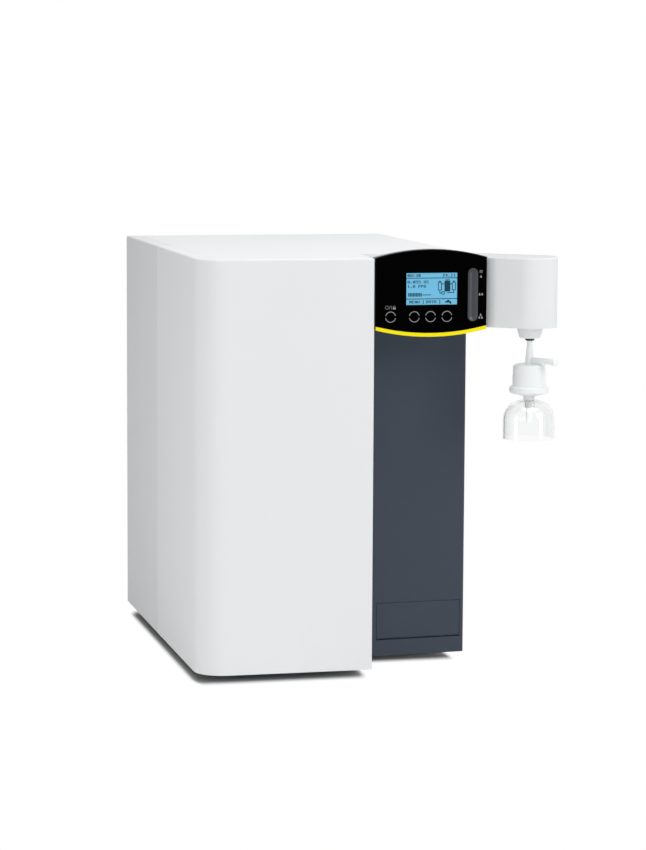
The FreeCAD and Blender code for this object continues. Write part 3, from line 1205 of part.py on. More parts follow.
def cartridge(x):
    """Purification cartridge: stepped body, neck with three lugs, two spigots and a grip rib."""
    low = CARTRIDGE_BOTTOM
    tab_top = DOCK_BOTTOM - RING_HEIGHT + TAB_HEIGHT
    shoulder = CARTRIDGE_SHOULDER
    radius = CARTRIDGE_RADIUS
    neck_top = tab_top + LUG_GAP + LUG_HEIGHT + 3
    profile = [(0, low + 4), (radius - 14, low + 4), (radius - 12, low), (radius - 5, low),
               (radius - 3, low + 3), (radius - 3, low + 24), (radius - 1, low + 26),
               (radius - 1, shoulder - 34), (radius, shoulder - 32), (radius, shoulder - 12),
               (radius - 4, shoulder - 5), (LUG_INNER + 4, shoulder),
               (LUG_INNER, shoulder + 1.5), (LUG_INNER, neck_top), (0, neck_top)]
    body = lathe(profile, V(x, CARTRIDGE_Y, 0))
    lug_low = tab_top + LUG_GAP
    lug_ring = pipe(LUG_OUTER, LUG_INNER - 0.5, V(x, CARTRIDGE_Y, lug_low), UP, LUG_HEIGHT)
    gaps = [wedge(x, 60 + 120 * index, LUG_OUTER + 1, lug_low - 1, LUG_HEIGHT + 2) for index in range(3)]
    trim = [wedge_trim(x, 120 * index, lug_low) for index in range(3)]
    spigots = [rod(4, V(x + side * 9, CARTRIDGE_Y, neck_top - 1), UP, 9) for side in (-1, 1)]
    return join(body, lug_ring.cut(gaps + trim), *spigots)


def wedge_trim(x, middle, low):
    """Narrows one lug so that it drops through its gate with room to spare."""
    sector = Part.makeCylinder(LUG_OUTER + 1, LUG_HEIGHT + 2, V(0, 0, low - 1), UP, 8)
    sector.rotate(V(0, 0, 0), UP, middle + 22)
    other = Part.makeCylinder(LUG_OUTER + 1, LUG_HEIGHT + 2, V(0, 0, low - 1), UP, 8)
    other.rotate(V(0, 0, 0), UP, middle - 30)
    pair = Part.makeCompound([sector, other])
    pair.translate(V(x, CARTRIDGE_Y, 0))
    return pair


# ---------------------------------------------------------------- water path
def clip_on_bulkhead(radius, y, z, height):
    """Clip round an upright vessel beside the bulkhead, on a block that meets the sheet."""
    x = vessel_x(radius)
    outer = pipe(radius + FIT_GAP + CLIP_SKIN, radius + FIT_GAP, V(x, y, z), UP, height)
    mouth = block(x - radius - 10, x - radius * 0.6, y - radius * 2, y + radius * 2, z - 1, z + height + 1)
    base = block(x + radius + 1, BULKHEAD_X - SHEET, y - CLIP_FOOT_WIDTH / 2, y + CLIP_FOOT_WIDTH / 2,
                 z, z + height)
    bore = rod(radius + FIT_GAP, V(x, y, z), UP, height)
    return carve(join(outer, base), mouth, bore)


def vessel_x(radius):
    """X of an upright vessel that is clipped to the bulkhead."""
    return BULKHEAD_X - SHEET - CLIP_SKIN - radius - CLIP_FOOT


def ro_module():
    """Reverse-osmosis vessel with stepped end caps and its ports."""
    x = vessel_x(RO_RADIUS)
    low, high = RO_BOTTOM, RO_TOP
    radius = RO_RADIUS
    profile = [(0, low), (radius - 8, low), (radius - 5, low + 3), (radius - 5, low + 8),
               (radius, low + 10), (radius, high - 10), (radius - 5, high - 8), (radius - 5, high - 3),
               (radius - 8, high), (0, high)]
    ports = [rod(RO_PORT_RADIUS, V(x, RO_Y + offset, high - 1), UP, RO_PORT_HEIGHT + 1)
             for offset in (0, RO_PORT_SPACING)]
    foot = rod(RO_FOOT_RADIUS, V(x, RO_Y, TRAY_TOP), UP, low - TRAY_TOP + 1)
    return join(lathe(profile, V(x, RO_Y, 0)), foot, *ports)


def vessel_clips():
    """Clips for the reverse-osmosis vessel and the lamp reactor."""
    ro_zs = (RO_BOTTOM + RO_CLIP_RISE, RO_TOP - RO_CLIP_DROP)
    uv_zs = (UV_BOTTOM + UV_CLIP_RISE, UV_TOP - UV_CLIP_DROP)
    clips = [clip_on_bulkhead(RO_RADIUS, RO_Y, z, CLIP_HEIGHT) for z in ro_zs]
    clips += [clip_on_bulkhead(UV_RADIUS, UV_Y, z, CLIP_HEIGHT) for z in uv_zs]
    return Part.makeCompound(clips)


def uv_reactor():
    """Steel lamp reactor: tube, end flanges and two side ports."""
    x = vessel_x(UV_RADIUS)
    low, high = UV_BOTTOM, UV_TOP
    shell = rod(UV_RADIUS, V(x, UV_Y, low), UP, high - low)
    flanges = [rod(UV_RADIUS + UV_FLANGE, V(x, UV_Y, z), UP, UV_FLANGE_HEIGHT)
               for z in (low, high - UV_FLANGE_HEIGHT)]
    ports = [rod(UV_PORT_RADIUS, V(x, UV_Y, z), LEFTWARD, UV_RADIUS + UV_PORT_REACH)
             for z in (low + UV_PORT_INSET, high - UV_PORT_INSET)]
    bore = rod(LAMP_RADIUS + 1, V(x, UV_Y, low + UV_FLANGE_HEIGHT), UP, high - low)
    return carve(join(shell, *flanges, *ports), bore)


def uv_lamp():
    """Lamp in the reactor, standing up into its connector cap."""
    x = vessel_x(UV_RADIUS)
    foot = UV_BOTTOM + UV_FLANGE_HEIGHT + FIT_GAP
    lamp = rod(LAMP_RADIUS, V(x, UV_Y, foot), UP, UV_TOP - foot + 1)
    cap = rod(LAMP_CAP_RADIUS, V(x, UV_Y, UV_TOP), UP, LAMP_CAP_HEIGHT)
    return join(lamp, cap)


def pump_axis_height():
    """Height of the booster pump's shaft above the bench."""
    return TRAY_TOP + CRADLE_HEIGHT + PUMP_RADIUS


def pump_motor():
    """Round motor with a terminal box and end bell."""
    start = V(PUMP_X, PUMP_FRONT + PUMP_HEAD_LENGTH, pump_axis_height())
    body = rod(PUMP_RADIUS, start, REARWARD, MOTOR_LENGTH)
    bell = rod(PUMP_RADIUS - 5, start + REARWARD * (MOTOR_LENGTH - 0.5), REARWARD, MOTOR_BELL)
    crown = pump_axis_height() + PUMP_RADIUS
    box = block(PUMP_X - TERMINAL_WIDTH / 2, PUMP_X + TERMINAL_WIDTH / 2, start.y + TERMINAL_INSET,
                start.y + TERMINAL_INSET + TERMINAL_LENGTH, crown - 6, crown + TERMINAL_RISE)
    return join(body, bell, box)


def pump_head():
    """Diaphragm pump head in front of the motor: round housing, cover, side inlet and top outlet."""
    height = pump_axis_height()
    middle = V(PUMP_X, PUMP_FRONT + PUMP_COVER, height)
    housing = rod(PUMP_RADIUS - 2, middle, REARWARD, PUMP_HEAD_LENGTH - PUMP_COVER)
    cover = rod(PUMP_RADIUS - 6, V(PUMP_X, PUMP_FRONT, height), REARWARD, PUMP_COVER + 2)
    ports = [rod(PUMP_PORT_RADIUS, V(PUMP_X, PUMP_FRONT + PUMP_PORT_BACK, height), way,
                 PUMP_RADIUS + PUMP_PORT_REACH) for way in (LEFTWARD, UP)]
    return join(housing, cover, *ports)


def pump_cradle():
    """Rubber-mounted saddle under the motor."""
    front = PUMP_FRONT + PUMP_HEAD_LENGTH + CRADLE_INSET
    length = MOTOR_LENGTH - 2 * CRADLE_INSET
    saddle = block(PUMP_X - CRADLE_WIDTH / 2, PUMP_X + CRADLE_WIDTH / 2, front, front + length, TRAY_TOP,
                   TRAY_TOP + CRADLE_HEIGHT + CRADLE_GRIP)
    hollow = rod(PUMP_RADIUS + FIT_GAP, V(PUMP_X, front - 1, pump_axis_height()), REARWARD, length + 2)
    tunnel = block(PUMP_X - CRADLE_TUNNEL_WIDTH / 2, PUMP_X + CRADLE_TUNNEL_WIDTH / 2, front - 1,
                   front + length + 1, TRAY_TOP - 1, TRAY_TOP + CRADLE_TUNNEL_HEIGHT)
    return carve(saddle, hollow, tunnel)


def valve_block():
    """Manifold block on the bulkhead that carries the solenoids."""
    x = BULKHEAD_X - SHEET
    half = VALVE_BLOCK_HALF
    body = block(x - VALVE_BLOCK_DEPTH, x, VALVE_BLOCK_Y - half, VALVE_BLOCK_Y + half,
                 VALVE_BLOCK_Z, VALVE_BLOCK_Z + VALVE_BLOCK_HEIGHT)
    low_edges = [edge for edge in edges_at(body, VALVE_BLOCK_Z) if edge.BoundBox.YLength > half]
    return body.makeChamfer(VALVE_BLOCK_CHAMFER, low_edges)


def solenoids():
    """Coils on the valve block, each with its connector."""
    x = BULKHEAD_X - SHEET - VALVE_BLOCK_DEPTH
    first = VALVE_BLOCK_Y - SOLENOID_PITCH * (SOLENOID_COUNT - 1) / 2
    coils = []
    for index in range(SOLENOID_COUNT):
        y = first + index * SOLENOID_PITCH
        top = VALVE_BLOCK_Z + VALVE_BLOCK_HEIGHT
        body = block(x - SOLENOID_REACH, x, y - SOLENOID_WIDTH / 2, y + SOLENOID_WIDTH / 2,
                     VALVE_BLOCK_Z + SOLENOID_INSET, top - SOLENOID_INSET)
        middle = x - SOLENOID_REACH / 2
        plug = block(middle - SOLENOID_PLUG_LENGTH / 2, middle + SOLENOID_PLUG_LENGTH / 2,
                     y - SOLENOID_PLUG_WIDTH / 2, y + SOLENOID_PLUG_WIDTH / 2,
                     top - SOLENOID_INSET - 1, top + SOLENOID_PLUG_RISE)
        coils.append(join(body, plug))
    return Part.makeCompound(coils)


def pressure_regulator():
    """Inlet pressure regulator in line with the first fitting: body, spring bonnet and ports."""
    centre = V(FITTING_XS[0], REGULATOR_Y, FITTING_Z)
    body = rod(REGULATOR_RADIUS, centre + DOWN * (REGULATOR_HEIGHT / 2), UP, REGULATOR_HEIGHT)
    seat = centre.z + REGULATOR_HEIGHT / 2
    top = seat + BONNET_HEIGHT
    shoulder = (BONNET_RADIUS + BONNET_TOP_RADIUS) / 2
    bonnet = lathe([(0, seat - 1), (BONNET_RADIUS, seat - 1), (shoulder, top - 4), (BONNET_TOP_RADIUS, top),
                    (0, top)], centre)
    inlet = rod(REGULATOR_PORT_RADIUS, centre, REARWARD, REGULATOR_RADIUS + REGULATOR_STUB)
    outlet = rod(REGULATOR_PORT_RADIUS, centre, FORWARD, REGULATOR_RADIUS + REGULATOR_REACH)
    return join(body, bonnet, inlet, outlet)


def cell_x():
    """X of the conductivity cells and of the hose that runs through them."""
    return BULKHEAD_X - SHEET - CELL_RADIUS - CELL_FOOT


def cell_front():
    """Y of the front end of the conductivity cells, behind the docking head."""
    return CARTRIDGE_Y + DOCK_DEPTH / 2 + CELL_BEHIND_DOCK


def conductivity_cells():
    """Two flow cells on the bulkhead; the upper one is in the dispensing line."""
    cells = []
    start = cell_front()
    middle = start + CELL_LENGTH / 2
    for z in (HOSE_PASS_Z, HOSE_PASS_Z - CELL_PITCH):
        body = rod(CELL_RADIUS, V(cell_x(), start + CELL_SPIGOT, z), REARWARD, CELL_LENGTH - 2 * CELL_SPIGOT)
        spigot = rod(HOSE_RADIUS + 1, V(cell_x(), start, z), REARWARD, CELL_LENGTH)
        base = block(cell_x() + CELL_RADIUS - CELL_FOOT, BULKHEAD_X - SHEET, middle - CELL_FOOT_WIDTH / 2,
                     middle + CELL_FOOT_WIDTH / 2, z - CELL_FOOT_HEIGHT / 2, z + CELL_FOOT_HEIGHT / 2)
        gland = rod(GLAND_RADIUS, V(cell_x(), middle, z), LEFTWARD, CELL_RADIUS + GLAND_REACH)
        cells.append(join(body, spigot, base, gland))
    return Part.makeCompound(cells)


def tube_routes():
    """Corner points of each hose, from port to port, in the order that the water takes."""
    height = pump_axis_height()
    port_y = PUMP_FRONT + PUMP_PORT_BACK
    port_reach = PUMP_RADIUS + PUMP_PORT_REACH + TUBE_GAP
    lane_left = PUMP_X - port_reach - 1.6 * TUBE_BEND
    out_y = REGULATOR_Y - REGULATOR_RADIUS - REGULATOR_REACH - TUBE_GAP
    turn_y = out_y - 1.3 * TUBE_BEND
    feed_x = FITTING_XS[0]
    feed = [V(feed_x, out_y, FITTING_Z), V(feed_x, turn_y, FITTING_Z), V(lane_left, turn_y, FITTING_Z),
            V(lane_left, port_y, height), V(PUMP_X - port_reach, port_y, height)]
    ro_x = vessel_x(RO_RADIUS)
    ro_top = RO_TOP + RO_PORT_HEIGHT + TUBE_GAP
    over = DOCK_TOP + 2.8 * TUBE_BEND
    press_z = ro_top + 2 * TUBE_BEND
    press_end = RO_Y + RO_PORT_SPACING
    press = [V(PUMP_X, port_y, height + port_reach), V(PUMP_X, port_y, press_z),
             V(ro_x, press_end, press_z), V(ro_x, press_end, ro_top)]
    dock_top = DOCK_TOP + TUBE_GAP / 2
    permeate = [V(ro_x, RO_Y, ro_top), V(ro_x, RO_Y, over), V(ro_x, CARTRIDGE_Y + 10, over),
                V(ro_x, CARTRIDGE_Y + 10, dock_top)]
    uv_port = vessel_x(UV_RADIUS) - UV_RADIUS - UV_PORT_REACH - TUBE_GAP
    uv_high = UV_TOP - UV_PORT_INSET
    uv_low = UV_BOTTOM + UV_PORT_INSET
    left_dock = DOCK_XS[0]
    polished = [V(left_dock, CARTRIDGE_Y + 15, dock_top),
                V(left_dock, CARTRIDGE_Y + 15, dock_top + 2.3 * TUBE_BEND),
                V(left_dock, UV_Y, uv_high), V(uv_port, UV_Y, uv_high)]
    block_x = BULKHEAD_X - SHEET - VALVE_BLOCK_DEPTH / 2
    block_z = VALVE_BLOCK_Z + VALVE_BLOCK_HEIGHT / 2
    block_front = VALVE_BLOCK_Y - VALVE_BLOCK_HALF - TUBE_GAP / 2
    sterile = [V(uv_port, UV_Y, uv_low), V(uv_port - 20, UV_Y, uv_low), V(uv_port - 20, UV_Y, block_z),
               V(block_x, UV_Y, block_z), V(block_x, block_front, block_z)]
    block_back = VALVE_BLOCK_Y + SOLENOID_PITCH
    dispense = [V(block_x, block_back, VALVE_BLOCK_Z + VALVE_BLOCK_HEIGHT + TUBE_GAP / 2),
                V(block_x, block_back, HOSE_PASS_Z),
                V(cell_x(), cell_front() + CELL_LENGTH + 30, HOSE_PASS_Z),
                V(cell_x(), cell_front() + CELL_LENGTH + TUBE_GAP / 2, HOSE_PASS_Z)]
    return feed, press, permeate, polished, sterile, dispense


def water_tubing():
    """Hoses of the water path: fitting, pump, vessels, docking head, reactor, valves, cells."""
    return Part.makeCompound([hose(route, HOSE_RADIUS, HOSE_BORE, TUBE_BEND) for route in tube_routes()])


# ---------------------------------------------------------------- electrics
def power_supply():
    """Vented power supply on the tray."""
    top = TRAY_TOP + PSU_HEIGHT
    body = block(PSU_LEFT, PSU_RIGHT, PSU_Y, PSU_Y + PSU_DEPTH, TRAY_TOP, top)
    starts = [PSU_Y + PSU_SLOT_START + PSU_SLOT_PITCH * index for index in range(PSU_SLOTS)]
    slots = [block(PSU_LEFT + PSU_SLOT_INSET, PSU_RIGHT - PSU_SLOT_INSET, start, start + PSU_SLOT_WIDTH,
                   top - PSU_SLOT_DEPTH, top + 1) for start in starts]
    return carve(body, *slots)


def main_board():
    """Controller board on standoffs from the bulkhead, with its larger parts."""
    x = BULKHEAD_X + STANDOFF
    far_y = BOARD_Y + BOARD_LENGTH
    far_z = BOARD_Z + BOARD_HEIGHT
    board = block(x, x + BOARD_THICK, BOARD_Y, far_y, BOARD_Z, far_z)
    inset = STANDOFF_INSET
    legs = [rod(STANDOFF_RADIUS, V(BULKHEAD_X, y, z), RIGHTWARD, STANDOFF + BOARD_THICK / 2)
            for y in (BOARD_Y + inset, far_y - inset) for z in (BOARD_Z + inset, far_z - inset)]
    face = x + BOARD_THICK - 0.2
    middle_y = (BOARD_Y + far_y) / 2
    middle_z = (BOARD_Z + far_z) / 2
    half = PROCESSOR_SIDE / 2
    transformer_y = far_y - TRANSFORMER_INSET - TRANSFORMER_LENGTH
    transformer_z = BOARD_Z + TRANSFORMER_RISE
    chips = [block(face, face + PROCESSOR_HEIGHT, middle_y - half, middle_y + half,
                   middle_z - half, middle_z + half),
             block(face, face + HEADER_HEIGHT, BOARD_Y + HEADER_INSET, BOARD_Y + HEADER_INSET + HEADER_WIDTH,
                   BOARD_Z + HEADER_RISE, BOARD_Z + HEADER_RISE + HEADER_LENGTH),
             block(face, face + TRANSFORMER_HEIGHT, transformer_y, transformer_y + TRANSFORMER_LENGTH,
                   transformer_z, transformer_z + TRANSFORMER_WIDTH)]
    cans = [rod(CAN_RADIUS, V(face, far_y - CAN_INSET - CAN_PITCH * index, far_z - CAN_DROP), RIGHTWARD,
                CAN_HEIGHT) for index in range(CAN_COUNT)]
    return join(board, *legs, *chips, *cans)


def fan_frame():
    """Square fan frame with its round duct and the hub on three arms."""
    half = FAN_SIZE / 2
    front = REAR_PANEL_Y - FAN_DEPTH
    body = block(FAN_X - half, FAN_X + half, front, REAR_PANEL_Y, FAN_Z - half, FAN_Z + half)
    corners = [edge for edge in body.Edges if edge.BoundBox.XLength < 1e-6 and edge.BoundBox.ZLength < 1e-6]
    body = body.makeFillet(5, corners)
    duct = rod(FAN_BORE, V(FAN_X, front - 1, FAN_Z), REARWARD, FAN_DEPTH + 2)
    hub = rod(FAN_HUB, V(FAN_X, front, FAN_Z), REARWARD, 5)
    arms = []
    for index in range(3):
        arm = block(0, FAN_BORE + 1, front, front + 4, -3, 3)
        arm.rotate(V(0, 0, 0), REARWARD, 30 + 120 * index)
        arm.translate(V(FAN_X, 0, FAN_Z))
        arms.append(arm)
    pin = rod(FAN_PIN_RADIUS, V(FAN_X, front + 4, FAN_Z), REARWARD, ROTOR_BORE_DEPTH)
    return join(carve(body, duct), hub, *arms, pin)


def fan_blade(turn):
    """One twisted blade, lofted from a steep root to a flat tip."""
    middle = REAR_PANEL_Y - FAN_DEPTH + BLADE_SETBACK
    sections = []
    for radius, (pitch, chord) in ((FAN_HUB - 1, BLADE_ROOT), (FAN_TIP, BLADE_TIP)):
        half = chord / 2
        across = math.cos(math.radians(pitch)) * half
        along = math.sin(math.radians(pitch)) * half
        corners = [V(radius, middle - along, -across), V(radius, middle - along + BLADE_THICK, -across),
                   V(radius, middle + along + BLADE_THICK, across), V(radius, middle + along, across)]
        sections.append(Part.makePolygon(corners + corners[:1]))
    blade = Part.makeLoft(sections, True, True)
    blade.rotate(V(0, 0, 0), REARWARD, turn)
    blade.translate(V(FAN_X, 0, FAN_Z))
    return blade


def fan_rotor():
    """Hub cup with its ring of twisted blades, turning on the frame's pin."""
    front = REAR_PANEL_Y - FAN_DEPTH + ROTOR_SETBACK
    hub = rod(FAN_HUB, V(FAN_X, front, FAN_Z), REARWARD, ROTOR_LENGTH)
    bore = rod(FAN_PIN_RADIUS + RUN_GAP, V(FAN_X, front - 1, FAN_Z), REARWARD, ROTOR_BORE_DEPTH)
    blades = [fan_blade(360 * index / FAN_BLADES) for index in range(FAN_BLADES)]
    return carve(join(hub, *blades), bore)


def fan_guard():
    """Finger guard: rings in front of two crossed bars that reach the fan's screws."""
    y = REAR_PANEL_Y + SHEET
    radii = [FAN_BORE * (index + 1) / GUARD_RINGS - GUARD_WIRE for index in range(GUARD_RINGS)]
    rings = [pipe(radius + GUARD_WIRE, radius - GUARD_WIRE, V(FAN_X, y + GUARD_WIRE, FAN_Z), REARWARD,
                  2 * GUARD_WIRE) for radius in radii]
    reach = (FAN_SIZE / 2 - 4) * math.sqrt(2)
    bars = []
    for angle in (45, 135):
        bar = block(-reach, reach, 0, 2 * GUARD_WIRE, -GUARD_WIRE, GUARD_WIRE)
        bar.rotate(V(0, 0, 0), REARWARD, angle)
        bar.translate(V(FAN_X, y, FAN_Z))
        bars.append(bar)
    return join(*bars, *rings)


def mains_inlet():
    """Appliance inlet with its three pins and the pocket for the fuse drawer above it."""
    width, height = INLET_BODY
    face = REAR_PANEL_Y + SHEET
    low = INLET_Z - height / 2
    flange = block(INLET_X - width / 2 - 3, INLET_X + width / 2 + 3, face, face + 2,
                   low - 3, low + height + 3)
    body = block(INLET_X - width / 2, INLET_X + width / 2, face - 26, face + 1, low, low + height)
    socket = block(INLET_X - 12, INLET_X + 12, face - 17, face + 3, low + 2.5, low + 19)
    pocket = block(INLET_X - 11, INLET_X + 11, face - 20, face + 3, low + 22, low + height - 3)
    shell = carve(join(flange, body), socket, pocket)
    pins = [block(INLET_X + side * 7 - 1, INLET_X + side * 7 + 1, face - 18, face - 4, low + 7, low + 11)
            for side in (-1, 1)]
    earth = block(INLET_X - 1, INLET_X + 1, face - 18, face - 3, low + 12, low + 16)
    return join(shell, *pins, earth)


def fuse_drawer():
    """Small drawer above the inlet that slides out with the fuses."""
    height = INLET_BODY[1]
    face = REAR_PANEL_Y + SHEET
    low = INLET_Z - height / 2 + 22
    high = INLET_Z + height / 2 - 3
    body = block(INLET_X - 11 + FIT_GAP, INLET_X + 11 - FIT_GAP, face - 19, face + 2.4,
                 low + FIT_GAP, high - FIT_GAP)
    well = block(INLET_X - 9, INLET_X + 9, face - 17, face - 3, low + 3, high + 1)
    grip = block(INLET_X - 4, INLET_X + 4, face + 1, face + 4, high - 5, high - 3)
    return join(carve(body, well), grip)


def power_switch():
    """Switch frame that snaps into the rear panel."""
    width, height = SWITCH_BODY
    face = REAR_PANEL_Y + SHEET
    flange = block(SWITCH_X - width / 2 - 1.5, SWITCH_X + width / 2 + 1.5, face, face + 2,
                   INLET_Z - height / 2 - 1.5, INLET_Z + height / 2 + 1.5)
    body = block(SWITCH_X - width / 2, SWITCH_X + width / 2, face - 20, face + 1,
                 INLET_Z - height / 2, INLET_Z + height / 2)
    half_w = ROCKER_WIDTH / 2 + FIT_GAP
    half_h = ROCKER_HEIGHT / 2 + FIT_GAP
    well = block(SWITCH_X - half_w, SWITCH_X + half_w, face - 15, face + 3, INLET_Z - half_h - 1,
                 INLET_Z + half_h + 1)
    pegs = rod(1.5 + RUN_GAP, V(SWITCH_X - half_w - 1.5, face - ROCKER_PIVOT_DEPTH, INLET_Z), RIGHTWARD,
               2 * half_w + 3)
    return carve(join(flange, body), well, pegs)


def switch_rocker():
    """Rocker on its two pegs, shown with its lower half pressed in."""
    face = REAR_PANEL_Y + SHEET
    half_w = ROCKER_WIDTH / 2
    half_h = ROCKER_HEIGHT / 2
    pivot = V(SWITCH_X, face - ROCKER_PIVOT_DEPTH, INLET_Z)
    points = [V(0, -4, -5), V(0, 8, -half_h), V(0, 6.5, 0), V(0, 8, half_h), V(0, -4, 5)]
    side = Part.Face(Part.makePolygon(points + points[:1]))
    body = side.extrude(V(ROCKER_WIDTH, 0, 0))
    body.translate(V(-half_w, 0, 0))
    body.rotate(V(0, 0, 0), RIGHTWARD, -ROCKER_TILT)
    body.translate(pivot)
    pegs = rod(1.5, pivot - RIGHTWARD * (half_w + 1.5), RIGHTWARD, ROCKER_WIDTH + 3)
    return join(body, pegs)


def water_fittings():
    """Push-in bulkhead fittings for feed, drain and overflow."""
    fittings = []
    face = REAR_PANEL_Y + SHEET
    for x in FITTING_XS:
        start = V(x, REAR_PANEL_Y - FITTING_DEPTH, FITTING_Z)
        shank = rod(FITTING_RADIUS - 2, start, REARWARD, FITTING_DEPTH + SHEET + FITTING_LENGTH - 3)
        collar = rod(FITTING_RADIUS + 2, V(x, face, FITTING_Z), REARWARD, 4)
        body = rod(FITTING_RADIUS, V(x, face + 3, FITTING_Z), REARWARD, FITTING_LENGTH - 7)
        nut = rod(FITTING_RADIUS + 2, V(x, REAR_PANEL_Y - 6, FITTING_Z), REARWARD, 6)
        bore = rod(FITTING_BORE, V(x, face + FITTING_LENGTH - 15, FITTING_Z), REARWARD, 16)
        drain = rod(2.5, start - REARWARD, REARWARD, 40)
        rim = rod(FITTING_RADIUS - 3, V(x, face + FITTING_LENGTH - 4, FITTING_Z), REARWARD, 4)
        fittings.append(carve(join(shank, collar, body, nut, rim), bore, drain))
    return Part.makeCompound(fittings)


def data_socket():
    """Serial socket: shell, face and its two jack posts."""
    width, height = DATA_BODY
    face = REAR_PANEL_Y + SHEET
    body = block(DATA_X - width / 2, DATA_X + width / 2, face - 10, face + 1,
                 FITTING_Z - height / 2, FITTING_Z + height / 2)
    flange = block(DATA_X - width / 2 - 6, DATA_X + width / 2 + 6, face, face + 1.2,
                   FITTING_Z - height / 2 - 0.5, FITTING_Z + height / 2 + 0.5)
    nose = block(DATA_X - width / 2 + 1.5, DATA_X + width / 2 - 1.5, face + 1, face + 6,
                 FITTING_Z - height / 2 + 2, FITTING_Z + height / 2 - 2)
    posts = [rod(2.4, V(DATA_X + side * (width / 2 + 3), face + 1, FITTING_Z), REARWARD, 4)
             for side in (-1, 1)]
    return join(body, flange, nose, *posts)


def case_screws():
    """Rear panel screws, pan heads on the sheet."""
    screws = []
    face = REAR_PANEL_Y + SHEET
    for x in (SKIN + 9, BODY_WIDTH / 2, BODY_WIDTH - SKIN - 9):
        for z in (TRAY_TOP + 24, BODY_TOP / 2, INNER_TOP - 14):
            head = rod(3.5, V(x, face, z), REARWARD, 1.8)
            ends = [edge for edge in head.Edges if edge.BoundBox.YMin > face + 1.7]
            screws.append(head.makeFillet(1.2, ends))
    return Part.makeCompound(screws)


# ---------------------------------------------------------------- the whole machine
def build():
    """Make every piece and keep it under its own name."""
    makers = (front_cover, cover_studs, left_post, left_rear_panel, right_panel, top_panel, base_tray,
              rubber_feet, centre_bulkhead, rear_panel, column_fascia, service_flap, service_niche,
              sanitising_port, sanitising_plug, head_housing, head_plate, nozzle_collar, nozzle_insert,
              dispense_valve, dispense_hose, display_glass, accent_strip, display_hood, lcd_module,
              touch_board, flow_groove, filter_upper, filter_lower, filter_pleats, vent_cap, dispense_bell,
              docking_head, ro_module, vessel_clips, uv_reactor, uv_lamp, pump_motor, pump_head,
              pump_cradle, valve_block, solenoids, pressure_regulator, conductivity_cells, water_tubing,
              power_supply, main_board, fan_frame, fan_rotor, fan_guard, mains_inlet, fuse_drawer,
              power_switch, switch_rocker, water_fittings, data_socket, case_screws)
    for maker in makers:
        keep(maker.__name__, maker())
    for side, x in zip(("left", "right"), DOCK_XS):
        keep("cartridge_" + side, cartridge(x))


def write():
    """Write one file for each piece."""
    os.makedirs("parts", exist_ok=True)
    for name, shape in parts.items():
        shape.exportStep("parts/" + name + ".step")


build()
write()
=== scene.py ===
"""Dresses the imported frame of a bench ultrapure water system.

Lengths are millimetres of the machine's own axes: X = 0 on the left side, Y = 0 at the front
of the white cover, Z = 0 on the bench.  `place` turns such a point into metres of the row.
"""
import logging
import math
from dataclasses import dataclass, field, replace
from enum import Enum
from typing import Iterable, Sequence

import bmesh
import bpy
from mathutils import Matrix, Vector


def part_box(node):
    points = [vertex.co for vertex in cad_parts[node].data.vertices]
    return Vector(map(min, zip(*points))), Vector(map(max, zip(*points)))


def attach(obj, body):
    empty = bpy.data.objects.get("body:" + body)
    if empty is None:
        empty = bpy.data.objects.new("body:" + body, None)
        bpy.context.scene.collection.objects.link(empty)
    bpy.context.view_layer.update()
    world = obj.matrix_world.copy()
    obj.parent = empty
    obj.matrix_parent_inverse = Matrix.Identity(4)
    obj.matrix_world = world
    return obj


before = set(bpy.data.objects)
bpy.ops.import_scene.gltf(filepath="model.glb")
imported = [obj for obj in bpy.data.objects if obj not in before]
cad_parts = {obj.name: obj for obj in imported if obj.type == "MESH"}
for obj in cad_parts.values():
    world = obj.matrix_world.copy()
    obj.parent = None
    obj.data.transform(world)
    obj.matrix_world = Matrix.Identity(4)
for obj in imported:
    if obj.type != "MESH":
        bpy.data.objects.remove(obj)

log = logging.getLogger("water_system")

MM = 0.001
COVER_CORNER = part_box("front_cover")[0]
ORIGIN = Vector((-COVER_CORNER[0], -COVER_CORNER[1], 0.0)) / MM
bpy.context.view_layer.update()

# Types of the node sockets.
COLOUR, NUMBER, VECTOR = "NodeSocketColor", "NodeSocketFloat", "NodeSocketVector"
WHITE = (1, 1, 1, 1)
DUST_COLOUR = (0.5, 0.49, 0.47, 1)
# Flow marks run along Z.
FLOW_SQUEEZE = (1.0, 1.0, 0.12)
# Turn that stands a flat print up, facing the front.
UPRIGHT = (math.radians(90), 0, 0)
# Painted shade on clear walls: how far a wall has turned away from the view where its colour starts to
# darken, and where it has this share of the darkening.
PAINTED_RIM_START, PAINTED_RIM_BEND, PAINTED_RIM_SHARE = 0.8, 0.93, 0.6
# Painted shade on faces that look up: how far a face looks up where its colour starts to darken and where it
# is darkest.
PAINTED_TOP_SHADE_START, PAINTED_TOP_SHADE_FULL = 0.6, 0.95

Point = Sequence[float]
Pair = tuple[float, float]
Colour = tuple[float, float, float]
Patch = tuple[int, int, int, int]
Mesh = bpy.types.Mesh
Tree = bpy.types.NodeTree
Socket = bpy.types.NodeSocket
Sockets = bpy.types.bpy_prop_collection


def place(x: float, y: float, z: float) -> Vector:
    """Point of the machine in millimetres as a point of the row in metres."""
    return (Vector((x, y, z)) - ORIGIN) * MM


def tone(red: int, green: int, blue: int) -> Colour:
    """Linear colour of a display colour given as three numbers up to 255.

    Args:
        red: its red.
        green: its green.
        blue: its blue.

    Returns:
        Red, green and blue between 0 and 1.
    """
    def linear(value: int) -> float:
        """One channel made linear."""
        share = value / 255
        return share / 12.92 if share <= 0.04045 else ((share + 0.055) / 1.055) ** 2.4
    return linear(red), linear(green), linear(blue)


